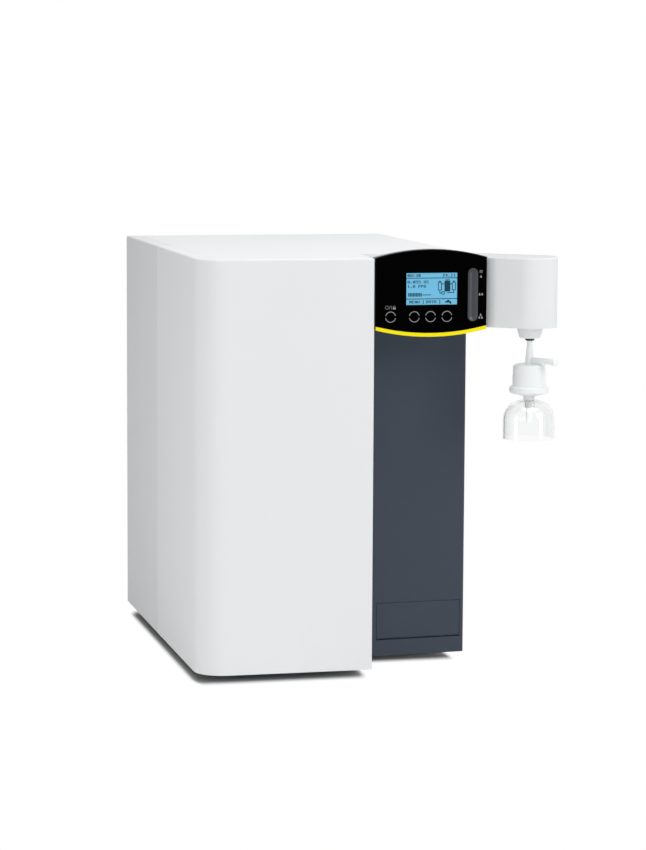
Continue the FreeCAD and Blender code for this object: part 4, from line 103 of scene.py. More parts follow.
# ---- shader wiring
class Wiring:
    """Adds and links the nodes of one shader or geometry tree."""

    def __init__(self, tree: Tree) -> None:
        """Starts on a tree."""
        self.tree = tree

    @classmethod
    def of(cls, owner: bpy.types.ID) -> "Wiring":
        """Wiring of a material or world, emptied first.

        Args:
            owner: the material or world.

        Returns:
            The wiring.
        """
        owner.use_nodes = True
        owner.node_tree.nodes.clear()
        return cls(owner.node_tree)

    def add(self, kind: str, inputs: dict | None = None, **settings: object) -> bpy.types.Node:
        """Adds a node.

        Args:
            kind: Blender's type name of the node.
            inputs: values or output sockets, by input name or number.
            settings: attributes of the node.

        Returns:
            The node.
        """
        node = self.tree.nodes.new(kind)
        for name, value in settings.items():
            setattr(node, name, value)
        for key, value in (inputs or {}).items():
            if isinstance(value, Socket):
                self.tree.links.new(value, node.inputs[key])
            else:
                node.inputs[key].default_value = value
        return node

    def ramp(self, source: Socket, stops: Sequence[Pair]) -> Socket:
        """Grey ramp over a value.

        Args:
            source: the value's socket.
            stops: (position, grey) pairs from low to high.

        Returns:
            The ramp's colour socket.
        """
        node = self.add("ShaderNodeValToRGB", {0: source})
        bar = node.color_ramp
        while len(bar.elements) < len(stops):
            bar.elements.new(0.5)
        for element, (spot, grey) in zip(bar.elements, stops):
            element.position = spot
            element.color = (grey, grey, grey, 1)
        return node.outputs[0]

    def maths(self, operation: str, first: object, second: object = 0.0) -> Socket:
        """Result of one arithmetic step on sockets or numbers."""
        return self.add("ShaderNodeMath", {0: first, 1: second}, operation=operation).outputs[0]

    def vectors(self, operation: str, first: object, second: object = (0, 0, 0)) -> Socket:
        """Result of one arithmetic step on vectors or colours."""
        return self.add("ShaderNodeVectorMath", {0: first, 1: second}, operation=operation).outputs[0]

    def scaled(self, vector: Socket, gain: Socket) -> Socket:
        """A vector or colour times a number."""
        return self.add("ShaderNodeVectorMath", {0: vector, "Scale": gain}, operation="SCALE").outputs[0]

    def noise(self, spot: Socket, scale: object, detail: float, roughness: float = 0.5) -> Socket:
        """Noise between 0 and 1 at a spot."""
        return self.add("ShaderNodeTexNoise", {"Vector": spot, "Scale": scale, "Detail": detail,
                                               "Roughness": roughness}).outputs[0]

    def swing(self, noise: Socket, amount: Socket, middle: object) -> Socket:
        """Noise turned into a swing of some amount about a middle value."""
        return self.maths("ADD", self.maths("MULTIPLY", self.maths("SUBTRACT", noise, 0.5), amount), middle)

    def spot(self) -> Socket:
        """Point of the surface on the piece's own axes."""
        return self.add("ShaderNodeTexCoord").outputs["Object"]

    def upward(self) -> Socket:
        """How far the surface looks up, from -1 to 1."""
        normal = self.add("ShaderNodeNewGeometry").outputs["Normal"]
        return self.add("ShaderNodeSeparateXYZ", {0: normal}).outputs["Z"]


class Effect(Enum):
    """Shared surface effects, each one shader group."""

    GRAIN = "moulding_grain"
    BRUSH = "brushed_streaks"
    DUST = "settled_dust"
    FLOW = "flow_marks"


class Effects:
    """Builds each shared effect once and hands it to the finishes."""

    made: dict[Effect, Tree] = {}
    surface: tuple[tuple[str, str], ...] = (("Colour", COLOUR), ("Roughness", NUMBER), ("Height", NUMBER))

    @classmethod
    def use(cls, wiring: Wiring, effect: Effect, values: dict) -> Sockets:
        """Adds an effect to a material.

        Args:
            wiring: the material's wiring.
            effect: the effect.
            values: its inputs, by name.

        Returns:
            The effect's outputs.
        """
        if effect not in cls.made:
            cls.made[effect] = {Effect.GRAIN: cls._grain, Effect.BRUSH: cls._brush,
                                Effect.DUST: cls._dust, Effect.FLOW: cls._flow}[effect]()
        return wiring.add("ShaderNodeGroup", values, node_tree=cls.made[effect]).outputs

    @staticmethod
    def _open(effect: Effect, takes: Sequence[tuple[str, str, object]],
              gives: Sequence[tuple[str, str]]) -> tuple[Wiring, Sockets]:
        """Starts a group with named sockets.

        Args:
            effect: the effect that the group makes.
            takes: (name, socket type, default) of each input.
            gives: (name, socket type) of each output.

        Returns:
            The wiring and the sockets of the inputs.
        """
        tree = bpy.data.node_groups.new(effect.value, "ShaderNodeTree")
        for label, kind, default in takes:
            tree.interface.new_socket(label, in_out="INPUT", socket_type=kind).default_value = default
        for label, kind in gives:
            tree.interface.new_socket(label, in_out="OUTPUT", socket_type=kind)
        wiring = Wiring(tree)
        return wiring, wiring.add("NodeGroupInput").outputs

    @classmethod
    def _grain(cls) -> Tree:
        """Fine moulding grain: varied tone, roughness and height.

        Returns:
            The group's tree.
        """
        wiring, takes = cls._open(
            Effect.GRAIN,
            [("Colour", COLOUR, WHITE), ("Tone Spread", NUMBER, 0.02), ("Roughness", NUMBER, 0.4),
             ("Roughness Spread", NUMBER, 0.06), ("Grain Scale", NUMBER, 1500.0)], cls.surface)
        spot = wiring.spot()
        fine = wiring.noise(spot, takes["Grain Scale"], detail=3.0, roughness=0.55)
        broad = wiring.noise(spot, 9.0, detail=2.0)
        wiring.add("NodeGroupOutput", {
            "Colour": wiring.scaled(takes["Colour"], wiring.swing(broad, takes["Tone Spread"], 1.0)),
            "Roughness": wiring.swing(fine, takes["Roughness Spread"], takes["Roughness"]),
            "Height": fine})
        return wiring.tree

    @classmethod
    def _brush(cls) -> Tree:
        """Long streaks of brushed or drawn metal.

        Returns:
            The group's tree.
        """
        wiring, takes = cls._open(
            Effect.BRUSH,
            [("Colour", COLOUR, WHITE), ("Roughness", NUMBER, 0.3),
             ("Stretch", VECTOR, (20.0, 900.0, 900.0)), ("Depth", NUMBER, 0.12)], cls.surface)
        drawn = wiring.vectors("MULTIPLY", wiring.spot(), takes["Stretch"])
        streak = wiring.noise(drawn, 1.0, detail=4.0)
        wiring.add("NodeGroupOutput", {
            "Colour": wiring.scaled(takes["Colour"], wiring.swing(streak, takes["Depth"], 1.0)),
            "Roughness": wiring.swing(streak, takes["Depth"], takes["Roughness"]),
            "Height": streak})
        return wiring.tree

    @classmethod
    def _dust(cls) -> Tree:
        """Mask of the fine dust that settles on faces that look up.

        Returns:
            The group's tree.
        """
        wiring, takes = cls._open(Effect.DUST, [("Amount", NUMBER, 0.1), ("Scale", NUMBER, 60.0)],
                                  [("Mask", NUMBER)])
        cloud = wiring.noise(wiring.spot(), takes["Scale"], detail=5.0)
        settled = wiring.maths("MULTIPLY", wiring.maths("MAXIMUM", wiring.upward(), 0.0), cloud)
        wiring.add("NodeGroupOutput", {"Mask": wiring.maths("MULTIPLY", settled, takes["Amount"])})
        return wiring.tree

    @classmethod
    def _flow(cls) -> Tree:
        """Very faint upright flow marks of a tall moulding.

        Returns:
            The group's tree.
        """
        wiring, takes = cls._open(Effect.FLOW, [("Amount", NUMBER, 0.01), ("Pitch", NUMBER, 30.0)],
                                  [("Gain", NUMBER)])
        squeezed = wiring.vectors("MULTIPLY", wiring.spot(), FLOW_SQUEEZE)
        wave = wiring.noise(squeezed, takes["Pitch"], detail=1.0)
        wiring.add("NodeGroupOutput", {"Gain": wiring.swing(wave, takes["Amount"], 1.0)})
        return wiring.tree


# ---- finishes
class Family(Enum):
    """What a finish is made of."""

    MOULDED = "moulded plastic"
    METAL = "metal"
    CLEAR = "clear plastic"
    LIT = "backlit"


@dataclass(frozen=True)
class Finish:
    """One surface finish of the machine.

    Lengths are in millimetres, `colour` is linear, and `edge` and `top` are the shares of the
    colour that painted shade leaves where a clear piece turns away from the view and where a piece looks up.
    """

    name: str
    slot: str
    colour: Colour
    family: Family = Family.MOULDED
    roughness: float = 0.4
    roughness_spread: float = 0.06
    tone_spread: float = 0.02
    grain: float = 0.6
    relief: float = 0.01
    specular: float = 0.5
    coat: float = 0.0
    coat_roughness: float = 0.1
    metallic: float = 0.0
    ior: float = 1.5
    transmission: float = 0.0
    # Emission: a real backlight on a lit screen, painted light on a plastic that is no lamp.
    backlight_and_painted_glow: float = 0.0
    dust: float = 0.0
    flow: float = 0.0
    shadow_pass: float = 0.0
    edge: float = 1.0
    top: float = 1.0
    stretch: Point = (20.0, 900.0, 900.0)

    def material(self) -> bpy.types.Material:
        """Blender material of the finish, built on first use.

        Returns:
            The material.
        """
        found = bpy.data.materials.get(self.name)
        if found:
            return found
        material = bpy.data.materials.new(self.name)
        wiring = Wiring.of(material)
        colour, rough, height = self._surface(wiring)
        # Painted shade: a clear piece's colour darkens where its wall turns away from the view.
        if self.edge < 1.0:
            colour = wiring.vectors("MULTIPLY", colour, self._painted_rim_shade(wiring))
        inputs = {
            "Base Color": colour, "Roughness": rough, "IOR": self.ior, "Specular IOR Level": self.specular,
            "Coat Weight": self.coat, "Coat Roughness": self.coat_roughness, "Metallic": self.metallic,
            "Transmission Weight": self.transmission}
        if self.shadow_pass:
            shadow = wiring.add("ShaderNodeLightPath").outputs["Is Shadow Ray"]
            passed = wiring.maths("MULTIPLY", shadow, self.shadow_pass)
            inputs["Alpha"] = wiring.maths("SUBTRACT", 1.0, passed)
        if self.relief:
            bump = wiring.add("ShaderNodeBump", {"Height": height, "Distance": self.relief * MM,
                                                 "Strength": 1.0})
            inputs["Normal"] = bump.outputs[0]
        # Emission in the base colour: backlight on the screen, painted light elsewhere.
        if self.backlight_and_painted_glow:
            inputs["Emission Strength"] = self.backlight_and_painted_glow
            inputs["Emission Color"] = colour
        shader = wiring.add("ShaderNodeBsdfPrincipled", inputs)
        wiring.add("ShaderNodeOutputMaterial", {"Surface": shader.outputs[0]})
        return material

    def _painted_rim_shade(self, wiring: Wiring) -> Socket:
        """Painted shade of a clear piece's wall: its colour darker where the wall turns away from the view.

        Args:
            wiring: the material's wiring.

        Returns:
            The shade's socket.
        """
        facing = wiring.add("ShaderNodeLayerWeight", {"Blend": 0.5}).outputs["Facing"]
        bend = 1.0 - PAINTED_RIM_SHARE * (1.0 - self.edge)
        return wiring.ramp(facing, ((0.0, 1.0), (PAINTED_RIM_START, 1.0), (PAINTED_RIM_BEND, bend), (1.0, self.edge)))

    def _surface(self, wiring: Wiring) -> tuple[Socket, Socket, Socket]:
        """Colour, roughness and height sockets of the finish.

        Args:
            wiring: the material's wiring.

        Returns:
            The three sockets.
        """
        if self.family is Family.METAL:
            effect, own = Effect.BRUSH, {"Stretch": self.stretch, "Depth": self.roughness_spread}
        else:
            effect, own = Effect.GRAIN, {"Tone Spread": self.tone_spread,
                                         "Roughness Spread": self.roughness_spread,
                                         "Grain Scale": 1 / (self.grain * MM)}
        base = Effects.use(wiring, effect, {"Colour": (*self.colour, 1), "Roughness": self.roughness, **own})
        colour = base["Colour"]
        if self.flow:
            marks = Effects.use(wiring, Effect.FLOW, {"Amount": self.flow})
            colour = wiring.scaled(colour, marks["Gain"])
        if self.dust:
            settled = Effects.use(wiring, Effect.DUST, {"Amount": self.dust})
            colour = wiring.add("ShaderNodeMix", {0: settled["Mask"], 6: colour, 7: DUST_COLOUR},
                                data_type="RGBA").outputs[2]
        # Painted shade: faces that look up are darkened.
        if self.top < 1.0:
            shade = wiring.ramp(wiring.upward(), ((0.0, 1.0), (PAINTED_TOP_SHADE_START, 1.0), (PAINTED_TOP_SHADE_FULL, self.top),
                                                  (1.0, self.top)))
            colour = wiring.vectors("MULTIPLY", colour, shade)
        return colour, base["Roughness"], base["Height"]


SHELL = Finish("satin_white_shell", "white_shell", tone(238, 240, 241), roughness=0.58, grain=0.35,
               relief=0.004, tone_spread=0.012, flow=0.008, dust=0.02, specular=0.05)
# The head's faces that look up get painted shade.
HEAD_SHELL = replace(SHELL, name="satin_white_head", roughness=0.52, dust=0.0, top=0.82)
PANEL_SHELL = replace(SHELL, name="powder_white_panel", colour=tone(232, 234, 235), roughness=0.6)
SLATE = Finish("satin_slate", "slate_plastic", tone(63, 71, 83), roughness=0.46, grain=0.3, relief=0.006,
               tone_spread=0.03, specular=0.2)
NICHE = Finish("grey_niche", "grey_plastic", tone(150, 152, 156), roughness=0.5)
BLUE_CAP = Finish("blue_port_cap", "blue_plastic", tone(38, 96, 170), roughness=0.38)
BLACK = Finish("black_moulding", "black_plastic", tone(26, 26, 28), roughness=0.5, grain=0.5, relief=0.012,
               dust=0.03)
BLACK_GLOSS = Finish("black_satin_trim", "black_plastic", tone(22, 22, 24), roughness=0.3, grain=0.4)
PANE = Finish("black_pane", "black_glass", tone(2, 2, 3), roughness=0.06, roughness_spread=0.02, grain=2.5,
              relief=0.0, specular=0.006, tone_spread=0.05)
STRIP = Finish("yellow_strip_gloss", "yellow_strip", tone(255, 236, 14), roughness=0.35, grain=0.5,
               specular=0.15, tone_spread=0.02)
PRINT = Finish("grey_print", "black_glass", tone(150, 150, 150), roughness=0.4, relief=0.0, grain=0.2,
               specular=0.2)
SCREEN = Finish("screen_lit_face", "screen", tone(103, 171, 203), Family.LIT, roughness=0.3, backlight_and_painted_glow=0.3,
                relief=0.0, tone_spread=0.05, grain=0.5, specular=0.1)
SCREEN_INK = Finish("screen_dots", "screen", tone(8, 36, 54), roughness=0.5, relief=0.0, specular=0.05)
GROOVE = Finish("groove_lacquer", "silver_plastic", tone(70, 71, 74), roughness=0.34, metallic=0.7,
                grain=0.25, relief=0.004, specular=0.3)
# The capsule's glow is painted light: a white plastic shell made to shine.
CAPSULE = Finish("capsule_white", "white_capsule", tone(243, 246, 246), roughness=0.36, grain=1.2,
                 relief=0.0, tone_spread=0.02, specular=0.3, backlight_and_painted_glow=0.045)
MOULD_WHITE = Finish("inner_white", "white_capsule", tone(228, 230, 231), roughness=0.45)
MEMBRANE = Finish("pleated_membrane", "white_membrane", tone(240, 240, 238), roughness=0.85, grain=0.3,
                  relief=0.02, specular=0.1)
# The bell's edge share is painted shade: its walls darken towards their outline.
CLEAR = Finish("clear_bell", "clear_plastic", (0.955, 0.96, 0.96), Family.CLEAR, roughness=0.02,
               roughness_spread=0.01, transmission=1.0, ior=1.49, relief=0.0, grain=3.0, tone_spread=0.0,
               edge=0.91, shadow_pass=0.85)
HOSE = Finish("milky_hose", "hose", tone(226, 232, 234), roughness=0.3, grain=0.8)
QUARTZ = Finish("quartz_lamp", "quartz", (0.9, 0.93, 0.98), Family.CLEAR, roughness=0.03, transmission=0.9,
                ior=1.46, relief=0.0)
ZINC = Finish("zinc_sheet", "sheet_steel", tone(196, 198, 202), Family.METAL, roughness=0.38,
              roughness_spread=0.14, metallic=0.9, relief=0.006, stretch=(60.0, 60.0, 900.0))
STEEL = Finish("brushed_steel", "bright_steel", tone(200, 202, 205), Family.METAL, roughness=0.26,
               roughness_spread=0.16, metallic=1.0, relief=0.004, stretch=(700.0, 700.0, 30.0))
DARK_RUBBER = Finish("moulded_rubber", "rubber", tone(32, 32, 33), roughness=0.78, grain=0.4, relief=0.03,
                     specular=0.25, dust=0.08)
BOARD = Finish("circuit_board_mask", "circuit_board", tone(24, 84, 52), roughness=0.32, grain=1.5,
               tone_spread=0.15, relief=0.01)
ENAMEL = Finish("motor_enamel", "motor_paint", tone(46, 47, 50), roughness=0.4, grain=0.9, relief=0.02,
                coat=0.2)


# ---- pieces and meshes
def node(name: str) -> bpy.types.Object:
    """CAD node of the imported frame."""
    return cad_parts[name]


def new_object(name: str, data: bpy.types.ID) -> bpy.types.Object:
    """New object in the scene.

    Args:
        name: its name.
        data: its mesh, lamp or camera.

    Returns:
        The object.
    """
    thing = bpy.data.objects.new(name, data)
    bpy.context.scene.collection.objects.link(thing)
    return thing


def dress(finish: Finish, *names: str) -> None:
    """Gives carried-over CAD nodes their finish.

    Args:
        finish: the finish.
        names: the nodes.
    """
    for name in names:
        for slot in node(name).material_slots:
            slot.material = finish.material()
        log.info("node %s: %s", name, finish.name)


def add_piece(name: str, mesh: Mesh, finish: Finish, body: str) -> None:
    """Adds a finished mesh to the machine.

    Args:
        name: the piece's name.
        mesh: its mesh, in place, in metres of the row.
        finish: its finish, unless the mesh brings materials of its own.
        body: the body that it rides on.
    """
    piece = new_object(name, mesh)
    if not mesh.materials:
        mesh.materials.append(finish.material())
    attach(piece, body)
    log.info("piece %s: %d faces, %s, rides on %s", name, len(mesh.polygons), finish.name, body)


class SignSheet:
    """Builds one mesh of thin printed patches in machine millimetres."""

    # A drop's round part sits this share of its size low, its point that share high.
    drop_sink: float = 0.35
    drop_point: float = 1.7
    drop_arc: Pair = (-220, 40)

    def __init__(self, front: float, back: float) -> None:
        """Starts empty.

        Args:
            front: y of the print's front.
            back: y of its back.
        """
        self.front = front
        self.back = back
        self.body = bmesh.new()

    def patch(self, outline: Sequence[Pair]) -> None:
        """Adds a patch over an (x, z) outline.

        Args:
            outline: its corners, in order.
        """
        near, far = ([self.body.verts.new(place(x, y, z)) for x, z in outline]
                     for y in (self.front, self.back))
        for index in range(len(near)):
            after = (index + 1) % len(near)
            self.body.faces.new((near[index], near[after], far[after], far[index]))
        self.body.faces.new(near[::-1])
        self.body.faces.new(far)

    def box(self, x0: float, x1: float, z0: float, z1: float) -> None:
        """Adds a filled box."""
        self.patch([(x0, z0), (x1, z0), (x1, z1), (x0, z1)])

    def border(self, x0: float, x1: float, z0: float, z1: float, line: float) -> None:
        """Adds the outline of a box.

        Args:
            x0: left side.
            x1: right side.
            z0: bottom.
            z1: top.
            line: the line's width.
        """
        self.box(x0, x1, z0, z0 + line)
        self.box(x0, x1, z1 - line, z1)
        self.box(x0, x0 + line, z0, z1)
        self.box(x1 - line, x1, z0, z1)

    def stroke(self, start: Pair, end: Pair, line: float) -> None:
        """Adds a straight stroke.

        Args:
            start: (x, z) of its start.
            end: (x, z) of its end.
            line: its width.
        """
        first, last = Vector(start), Vector(end)
        run = last - first
        side = Vector((-run.y, run.x)).normalized() * line / 2
        self.patch([tuple(point) for point in (first - side, last - side, last + side, first + side)])

    def ring(self, x: float, z: float, radius: float, line: float, steps: int = 24) -> None:
        """Adds a ring.

        Args:
            x: x of its middle.
            z: z of its middle.
            radius: outer radius.
            line: the line's width.
            steps: number of segments.
        """
        outer, inner = (arc((x, z), reach, 0, 360, steps)[:-1] for reach in (radius, radius - line))
        for index in range(steps):
            after = (index + 1) % steps
            self.patch([outer[index], outer[after], inner[after], inner[index]])

    def drop(self, x: float, z: float, size: float, steps: int = 14) -> None:
        """Adds a water drop: a round part with a point above it."""
        round_part = arc((x, z - self.drop_sink * size), size, *self.drop_arc, steps)
        self.patch(round_part + [(x, z + self.drop_point * size)])

    def mesh(self, name: str, sharp: float = 35.0, merge: float = 0.002) -> Mesh:
        """Mesh of the print with its doubles merged and its faces outward.

        Args:
            name: the mesh's name.
            sharp: edges steeper than this many degrees stay sharp.
            merge: distance in millimetres under which points become one.

        Returns:
            The mesh.
        """
        bmesh.ops.remove_doubles(self.body, verts=self.body.verts, dist=merge * MM)
        bmesh.ops.recalc_face_normals(self.body, faces=self.body.faces)
        mesh = bpy.data.meshes.new(name)
        self.body.to_mesh(mesh)
        self.body.free()
        mesh.shade_smooth()
        mesh.set_sharp_from_angle(angle=math.radians(sharp))
        return mesh


def arc(centre: Pair, radius: float, start: float, end: float, steps: int) -> list[Pair]:
    """Points of an arc in a plane between two angles in degrees, both ends included."""
    turns = [math.radians(start + (end - start) * index / steps) for index in range(steps + 1)]
    return [(centre[0] + radius * math.cos(turn), centre[1] + radius * math.sin(turn)) for turn in turns]


# ---- geometry nodes
class Pattern:
    """Builds one Geometry Nodes tree with named inputs and bakes it to plain meshes."""

    def __init__(self, name: str, inputs: Sequence[tuple[str, str, object]]) -> None:
        """Starts a tree.

        Args:
            name: the tree's name.
            inputs: (name, socket type, default) of each input after the geometry.
        """
        self.tree = bpy.data.node_groups.new(name, "GeometryNodeTree")
        interface = self.tree.interface
        interface.new_socket("Geometry", in_out="INPUT", socket_type="NodeSocketGeometry")
        for label, kind, default in inputs:
            interface.new_socket(label, in_out="INPUT", socket_type=kind).default_value = default
        interface.new_socket("Material", in_out="INPUT", socket_type="NodeSocketMaterial")
        interface.new_socket("Geometry", in_out="OUTPUT", socket_type="NodeSocketGeometry")
        self.wiring = Wiring(self.tree)
        self.takes = self.wiring.add("NodeGroupInput").outputs

    def close(self, geometry: Socket) -> "Pattern":
        """Ends the tree in Realize Instances and Set Material.

        Args:
            geometry: what the tree has made.

        Returns:
            The pattern.
        """
        real = self.wiring.add("GeometryNodeRealizeInstances", {0: geometry})
        coated = self.wiring.add("GeometryNodeSetMaterial", {"Geometry": real.outputs[0],
                                                             "Material": self.takes["Material"]})
        self.wiring.add("NodeGroupOutput", {0: coated.outputs[0]})
        return self

    def bake(self, host: Mesh, finish: Finish, **values: object) -> Mesh:
        """Runs the tree on a host mesh.

        Args:
            host: mesh whose points or edges the tree follows.
            finish: the finish that the tree sets.
            values: inputs by name, with _ for a space.

        Returns:
            The plain mesh.
        """
        carrier = new_object(self.tree.name, host)
        modifier = carrier.modifiers.new(self.tree.name, "NODES")
        modifier.node_group = self.tree
        sockets = {item.name: item.identifier for item in self.tree.interface.items_tree
                   if item.in_out == "INPUT"}
        for label, value in values.items():
            modifier[sockets[label.replace("_", " ")]] = value
        modifier[sockets["Material"]] = finish.material()
        bpy.context.view_layer.update()
        shown = carrier.evaluated_get(bpy.context.evaluated_depsgraph_get())
        mesh = bpy.data.meshes.new_from_object(shown)
        carrier.modifiers.remove(modifier)
        bpy.data.objects.remove(carrier)
        bpy.data.meshes.remove(host)
        return mesh


def points_mesh(points: Iterable[Point]) -> Mesh:
    """Mesh of loose points given in machine millimetres.

    Args:
        points: the points.

    Returns:
        The mesh.
    """
    mesh = bpy.data.meshes.new("host_points")
    mesh.from_pydata([place(*point) for point in points], [], [])
    return mesh


def span(name: str) -> tuple[Vector, Vector]:
    """Lowest and highest corner of a CAD node in machine millimetres."""
    low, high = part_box(name)
    return Vector(low) / MM + ORIGIN, Vector(high) / MM + ORIGIN


# ---- sub-assemblies
@dataclass
class Housing:
    """White shell, chassis and feet."""

    def build(self) -> None:
        """Dresses the shell and the sheet metal."""
        dress(SHELL, "front_cover", "top_panel")
        dress(PANEL_SHELL, "left_rear_panel", "right_panel")
        dress(ZINC, "left_post", "base_tray", "centre_bulkhead")
        dress(STEEL, "cover_studs")
        dress(DARK_RUBBER, "rubber_feet")


@dataclass
class Column:
    """Slate column with its service flap, niche and port."""

    def build(self) -> None:
        """Dresses the column."""
        dress(SLATE, "column_fascia", "service_flap")
        dress(NICHE, "service_niche", "sanitising_port")
        dress(BLUE_CAP, "sanitising_plug")


@dataclass
class Head:
    """White head and arm."""

    def build(self) -> None:
        """Dresses the head and what is inside it."""
        dress(HEAD_SHELL, "head_housing", "head_plate", "nozzle_collar")
        dress(BLACK, "nozzle_insert", "dispense_valve")
        dress(HOSE, "dispense_hose")


GLYPHS = {
    " ": "..... ..... ..... ..... ..... ..... .....", ".": "..... ..... ..... ..... ..... .##.. .##..",
    "0": ".###. #...# #..## #.#.# ##..# #...# .###.", "1": "..#.. .##.. ..#.. ..#.. ..#.. ..#.. .###.",
    "2": ".###. #...# ....# ..##. .#... #.... #####", "3": ".###. #...# ....# ..##. ....# #...# .###.",
    "4": "...#. ..##. .#.#. #..#. ##### ...#. ...#.", "5": "##### #.... ####. ....# ....# #...# .###.",
    "8": ".###. #...# #...# .###. #...# #...# .###.", ":": "..... .##.. .##.. ..... .##.. .##.. .....",
    "A": ".###. #...# #...# ##### #...# #...# #...#", "B": "####. #...# #...# ####. #...# #...# ####.",
    "D": "####. #...# #...# #...# #...# #...# ####.", "E": "##### #.... #.... ####. #.... #.... #####",
    "M": "#...# ##.## #.#.# #.#.# #...# #...# #...#", "N": "#...# ##..# ##..# #.#.# #..## #..## #...#",
    "P": "####. #...# #...# ####. #.... #.... #....", "S": ".#### #.... #.... .###. ....# ....# ####.",
    "T": "##### ..#.. ..#.. ..#.. ..#.. ..#.. ..#..", "U": "#...# #...# #...# #...# #...# #...# .###.",
}


@dataclass
class Screen:
    """Dot matrix screen: collects the dots that are dark.

    Columns run from the left and rows from the top.  Every size is a number of dots, and a patch
    is its left column, top row, width and height.
    """

    columns: int = 132
    line: int = 2
    margin: int = 3
    letter_step: int = 7
    date_column: int = 94
    status_rule: int = 12
    reading_rows: tuple[int, int] = (19, 30)
    level_blocks: int = 9
    level_block: Patch = (5, 50, 3, 9)
    level_step: int = 4
    level_rest: Patch = (41, 54, 23, 2)
    label_rule: int = 64
    label_row: int = 69
    label_columns: tuple[int, int] = (8, 51)
    label_dividers: tuple[Patch, ...] = ((43, 68, 2, 10), (86, 68, 2, 10))
    tap_sign: tuple[Patch, ...] = ((101, 71, 15, 4), (106, 68, 6, 4), (113, 74, 4, 4))
    empty_vessels: tuple[Patch, ...] = ((82, 20, 10, 24), (118, 20, 10, 24))
    full_vessel: Patch = (99, 17, 15, 30)
    pipes: tuple[Patch, ...] = ((86, 44, 2, 8), (86, 50, 6, 2), (91, 27, 9, 2), (113, 27, 6, 2),
                                (122, 44, 2, 7), (106, 49, 18, 2))
    pump: tuple[int, int] = (95, 50)
    pump_radii: Pair = (2.4, 4.6)
    dark: set[tuple[int, int]] = field(default_factory=set)

    def text(self, column: int, row: int, words: str) -> None:
        """Writes characters of five dots by seven, thickened by a dot to the right.

        Args:
            column: column of the first character's left dots.
            row: row of its top dots.
            words: the characters.
        """
        for turn, character in enumerate(words):
            for down, marks in enumerate(GLYPHS[character].split()):
                for across, mark in enumerate(marks):
                    if mark == "#":
                        self.bar(column + self.letter_step * turn + across, row + down, self.line, 1)

    def bar(self, left: int, top: int, width: int, height: int) -> None:
        """Fills a patch of dots."""
        self.dark.update((left + across, top + down) for across in range(width) for down in range(height))

    def box(self, left: int, top: int, width: int, height: int) -> None:
        """Outlines a patch of dots.

        Args:
            left: its left column.
            top: its top row.
            width: its columns.
            height: its rows.
        """
        for edge in ((left, top, width, self.line), (left, top + height - self.line, width, self.line),
                     (left, top, self.line, height), (left + width - self.line, top, self.line, height)):
            self.bar(*edge)

    def ring(self, column: int, row: int, inner: float, outer: float) -> None:
        """Fills a round ring of dots.

        Args:
            column: its middle's column.
            row: its middle's row.
            inner: inner radius.
            outer: outer radius.
        """
        reach = math.ceil(outer)
        for across in range(-reach, reach + 1):
            for down in range(-reach, reach + 1):
                if inner <= math.hypot(across, down) <= outer:
                    self.dark.add((column + across, row + down))

    def vessel(self, patch: Patch, full: bool) -> None:
        """Draws a capped vessel, full or empty, whose cap and neck take its top three rows.

        Args:
            patch: where it stands.
            full: whether it is full.
        """
        left, top, width, height = patch
        (self.bar if full else self.box)(left, top + 3, width, height - 3)
        self.bar(left + 2, top, width - 4, 2)
        self.bar(left + width // 2 - 1, top + 2, 2, 1)

    def compose(self) -> None:
        """Draws the whole page."""
        self._readings()
        self._labels()
        self._flow()

    def _readings(self) -> None:
        """Time and date over a rule, two readings and the level bar."""
        self.text(self.margin, self.margin, "08:30")
        self.text(self.date_column, self.margin, "24.11")
        self.bar(0, self.status_rule, self.columns, self.line)
        for row, words in zip(self.reading_rows, ("0.055 US", "1.0 PPB")):
            self.text(self.margin, row, words)
        left, top, width, height = self.level_block
        for block in range(self.level_blocks):
            self.bar(left + self.level_step * block, top, width, height)
        self.bar(*self.level_rest)

    def _labels(self) -> None:
        """Labels of the keys under a rule."""
        self.bar(0, self.label_rule, self.columns, self.line)
        for column, words in zip(self.label_columns, ("MENU", "DATA")):
            self.text(column, self.label_row, words)
        for patch in self.label_dividers + self.tap_sign:
            self.bar(*patch)

    def _flow(self) -> None:
        """Picture of the water's way through the vessels and the pump."""
        for patch in self.empty_vessels:
            self.vessel(patch, False)
        self.vessel(self.full_vessel, True)
        for patch in self.pipes:
            self.bar(*patch)
        self.ring(*self.pump, *self.pump_radii)

    def mesh(self, left: float, top: float, face_y: float, pitch: float, dot: float,
             finish: Finish) -> Mesh:
        """Lays a small square on the screen for every dark dot.

        Args:
            left: x of the screen's left edge.
            top: z of its top edge.
            face_y: y that the dots lie at.
            pitch: distance between dots.
            dot: side of a dot.
            finish: finish of the dots.

        Returns:
            The mesh.
        """
        points = [(left + pitch * (across + 0.5), face_y, top - pitch * (down + 0.5))
                  for across, down in sorted(self.dark)]
        pattern = Pattern("dark_dots", [("Dot", NUMBER, 0.0004)])
        add, takes = pattern.wiring.add, pattern.takes
        square = add("GeometryNodeMeshGrid", {"Size X": takes["Dot"], "Size Y": takes["Dot"],
                                              "Vertices X": 2, "Vertices Y": 2})
        spread = add("GeometryNodeInstanceOnPoints", {"Points": takes["Geometry"],
                                                      "Instance": square.outputs["Mesh"],
                                                      "Rotation": UPRIGHT})
        return pattern.close(spread.outputs[0]).bake(points_mesh(points), finish, Dot=dot * MM)


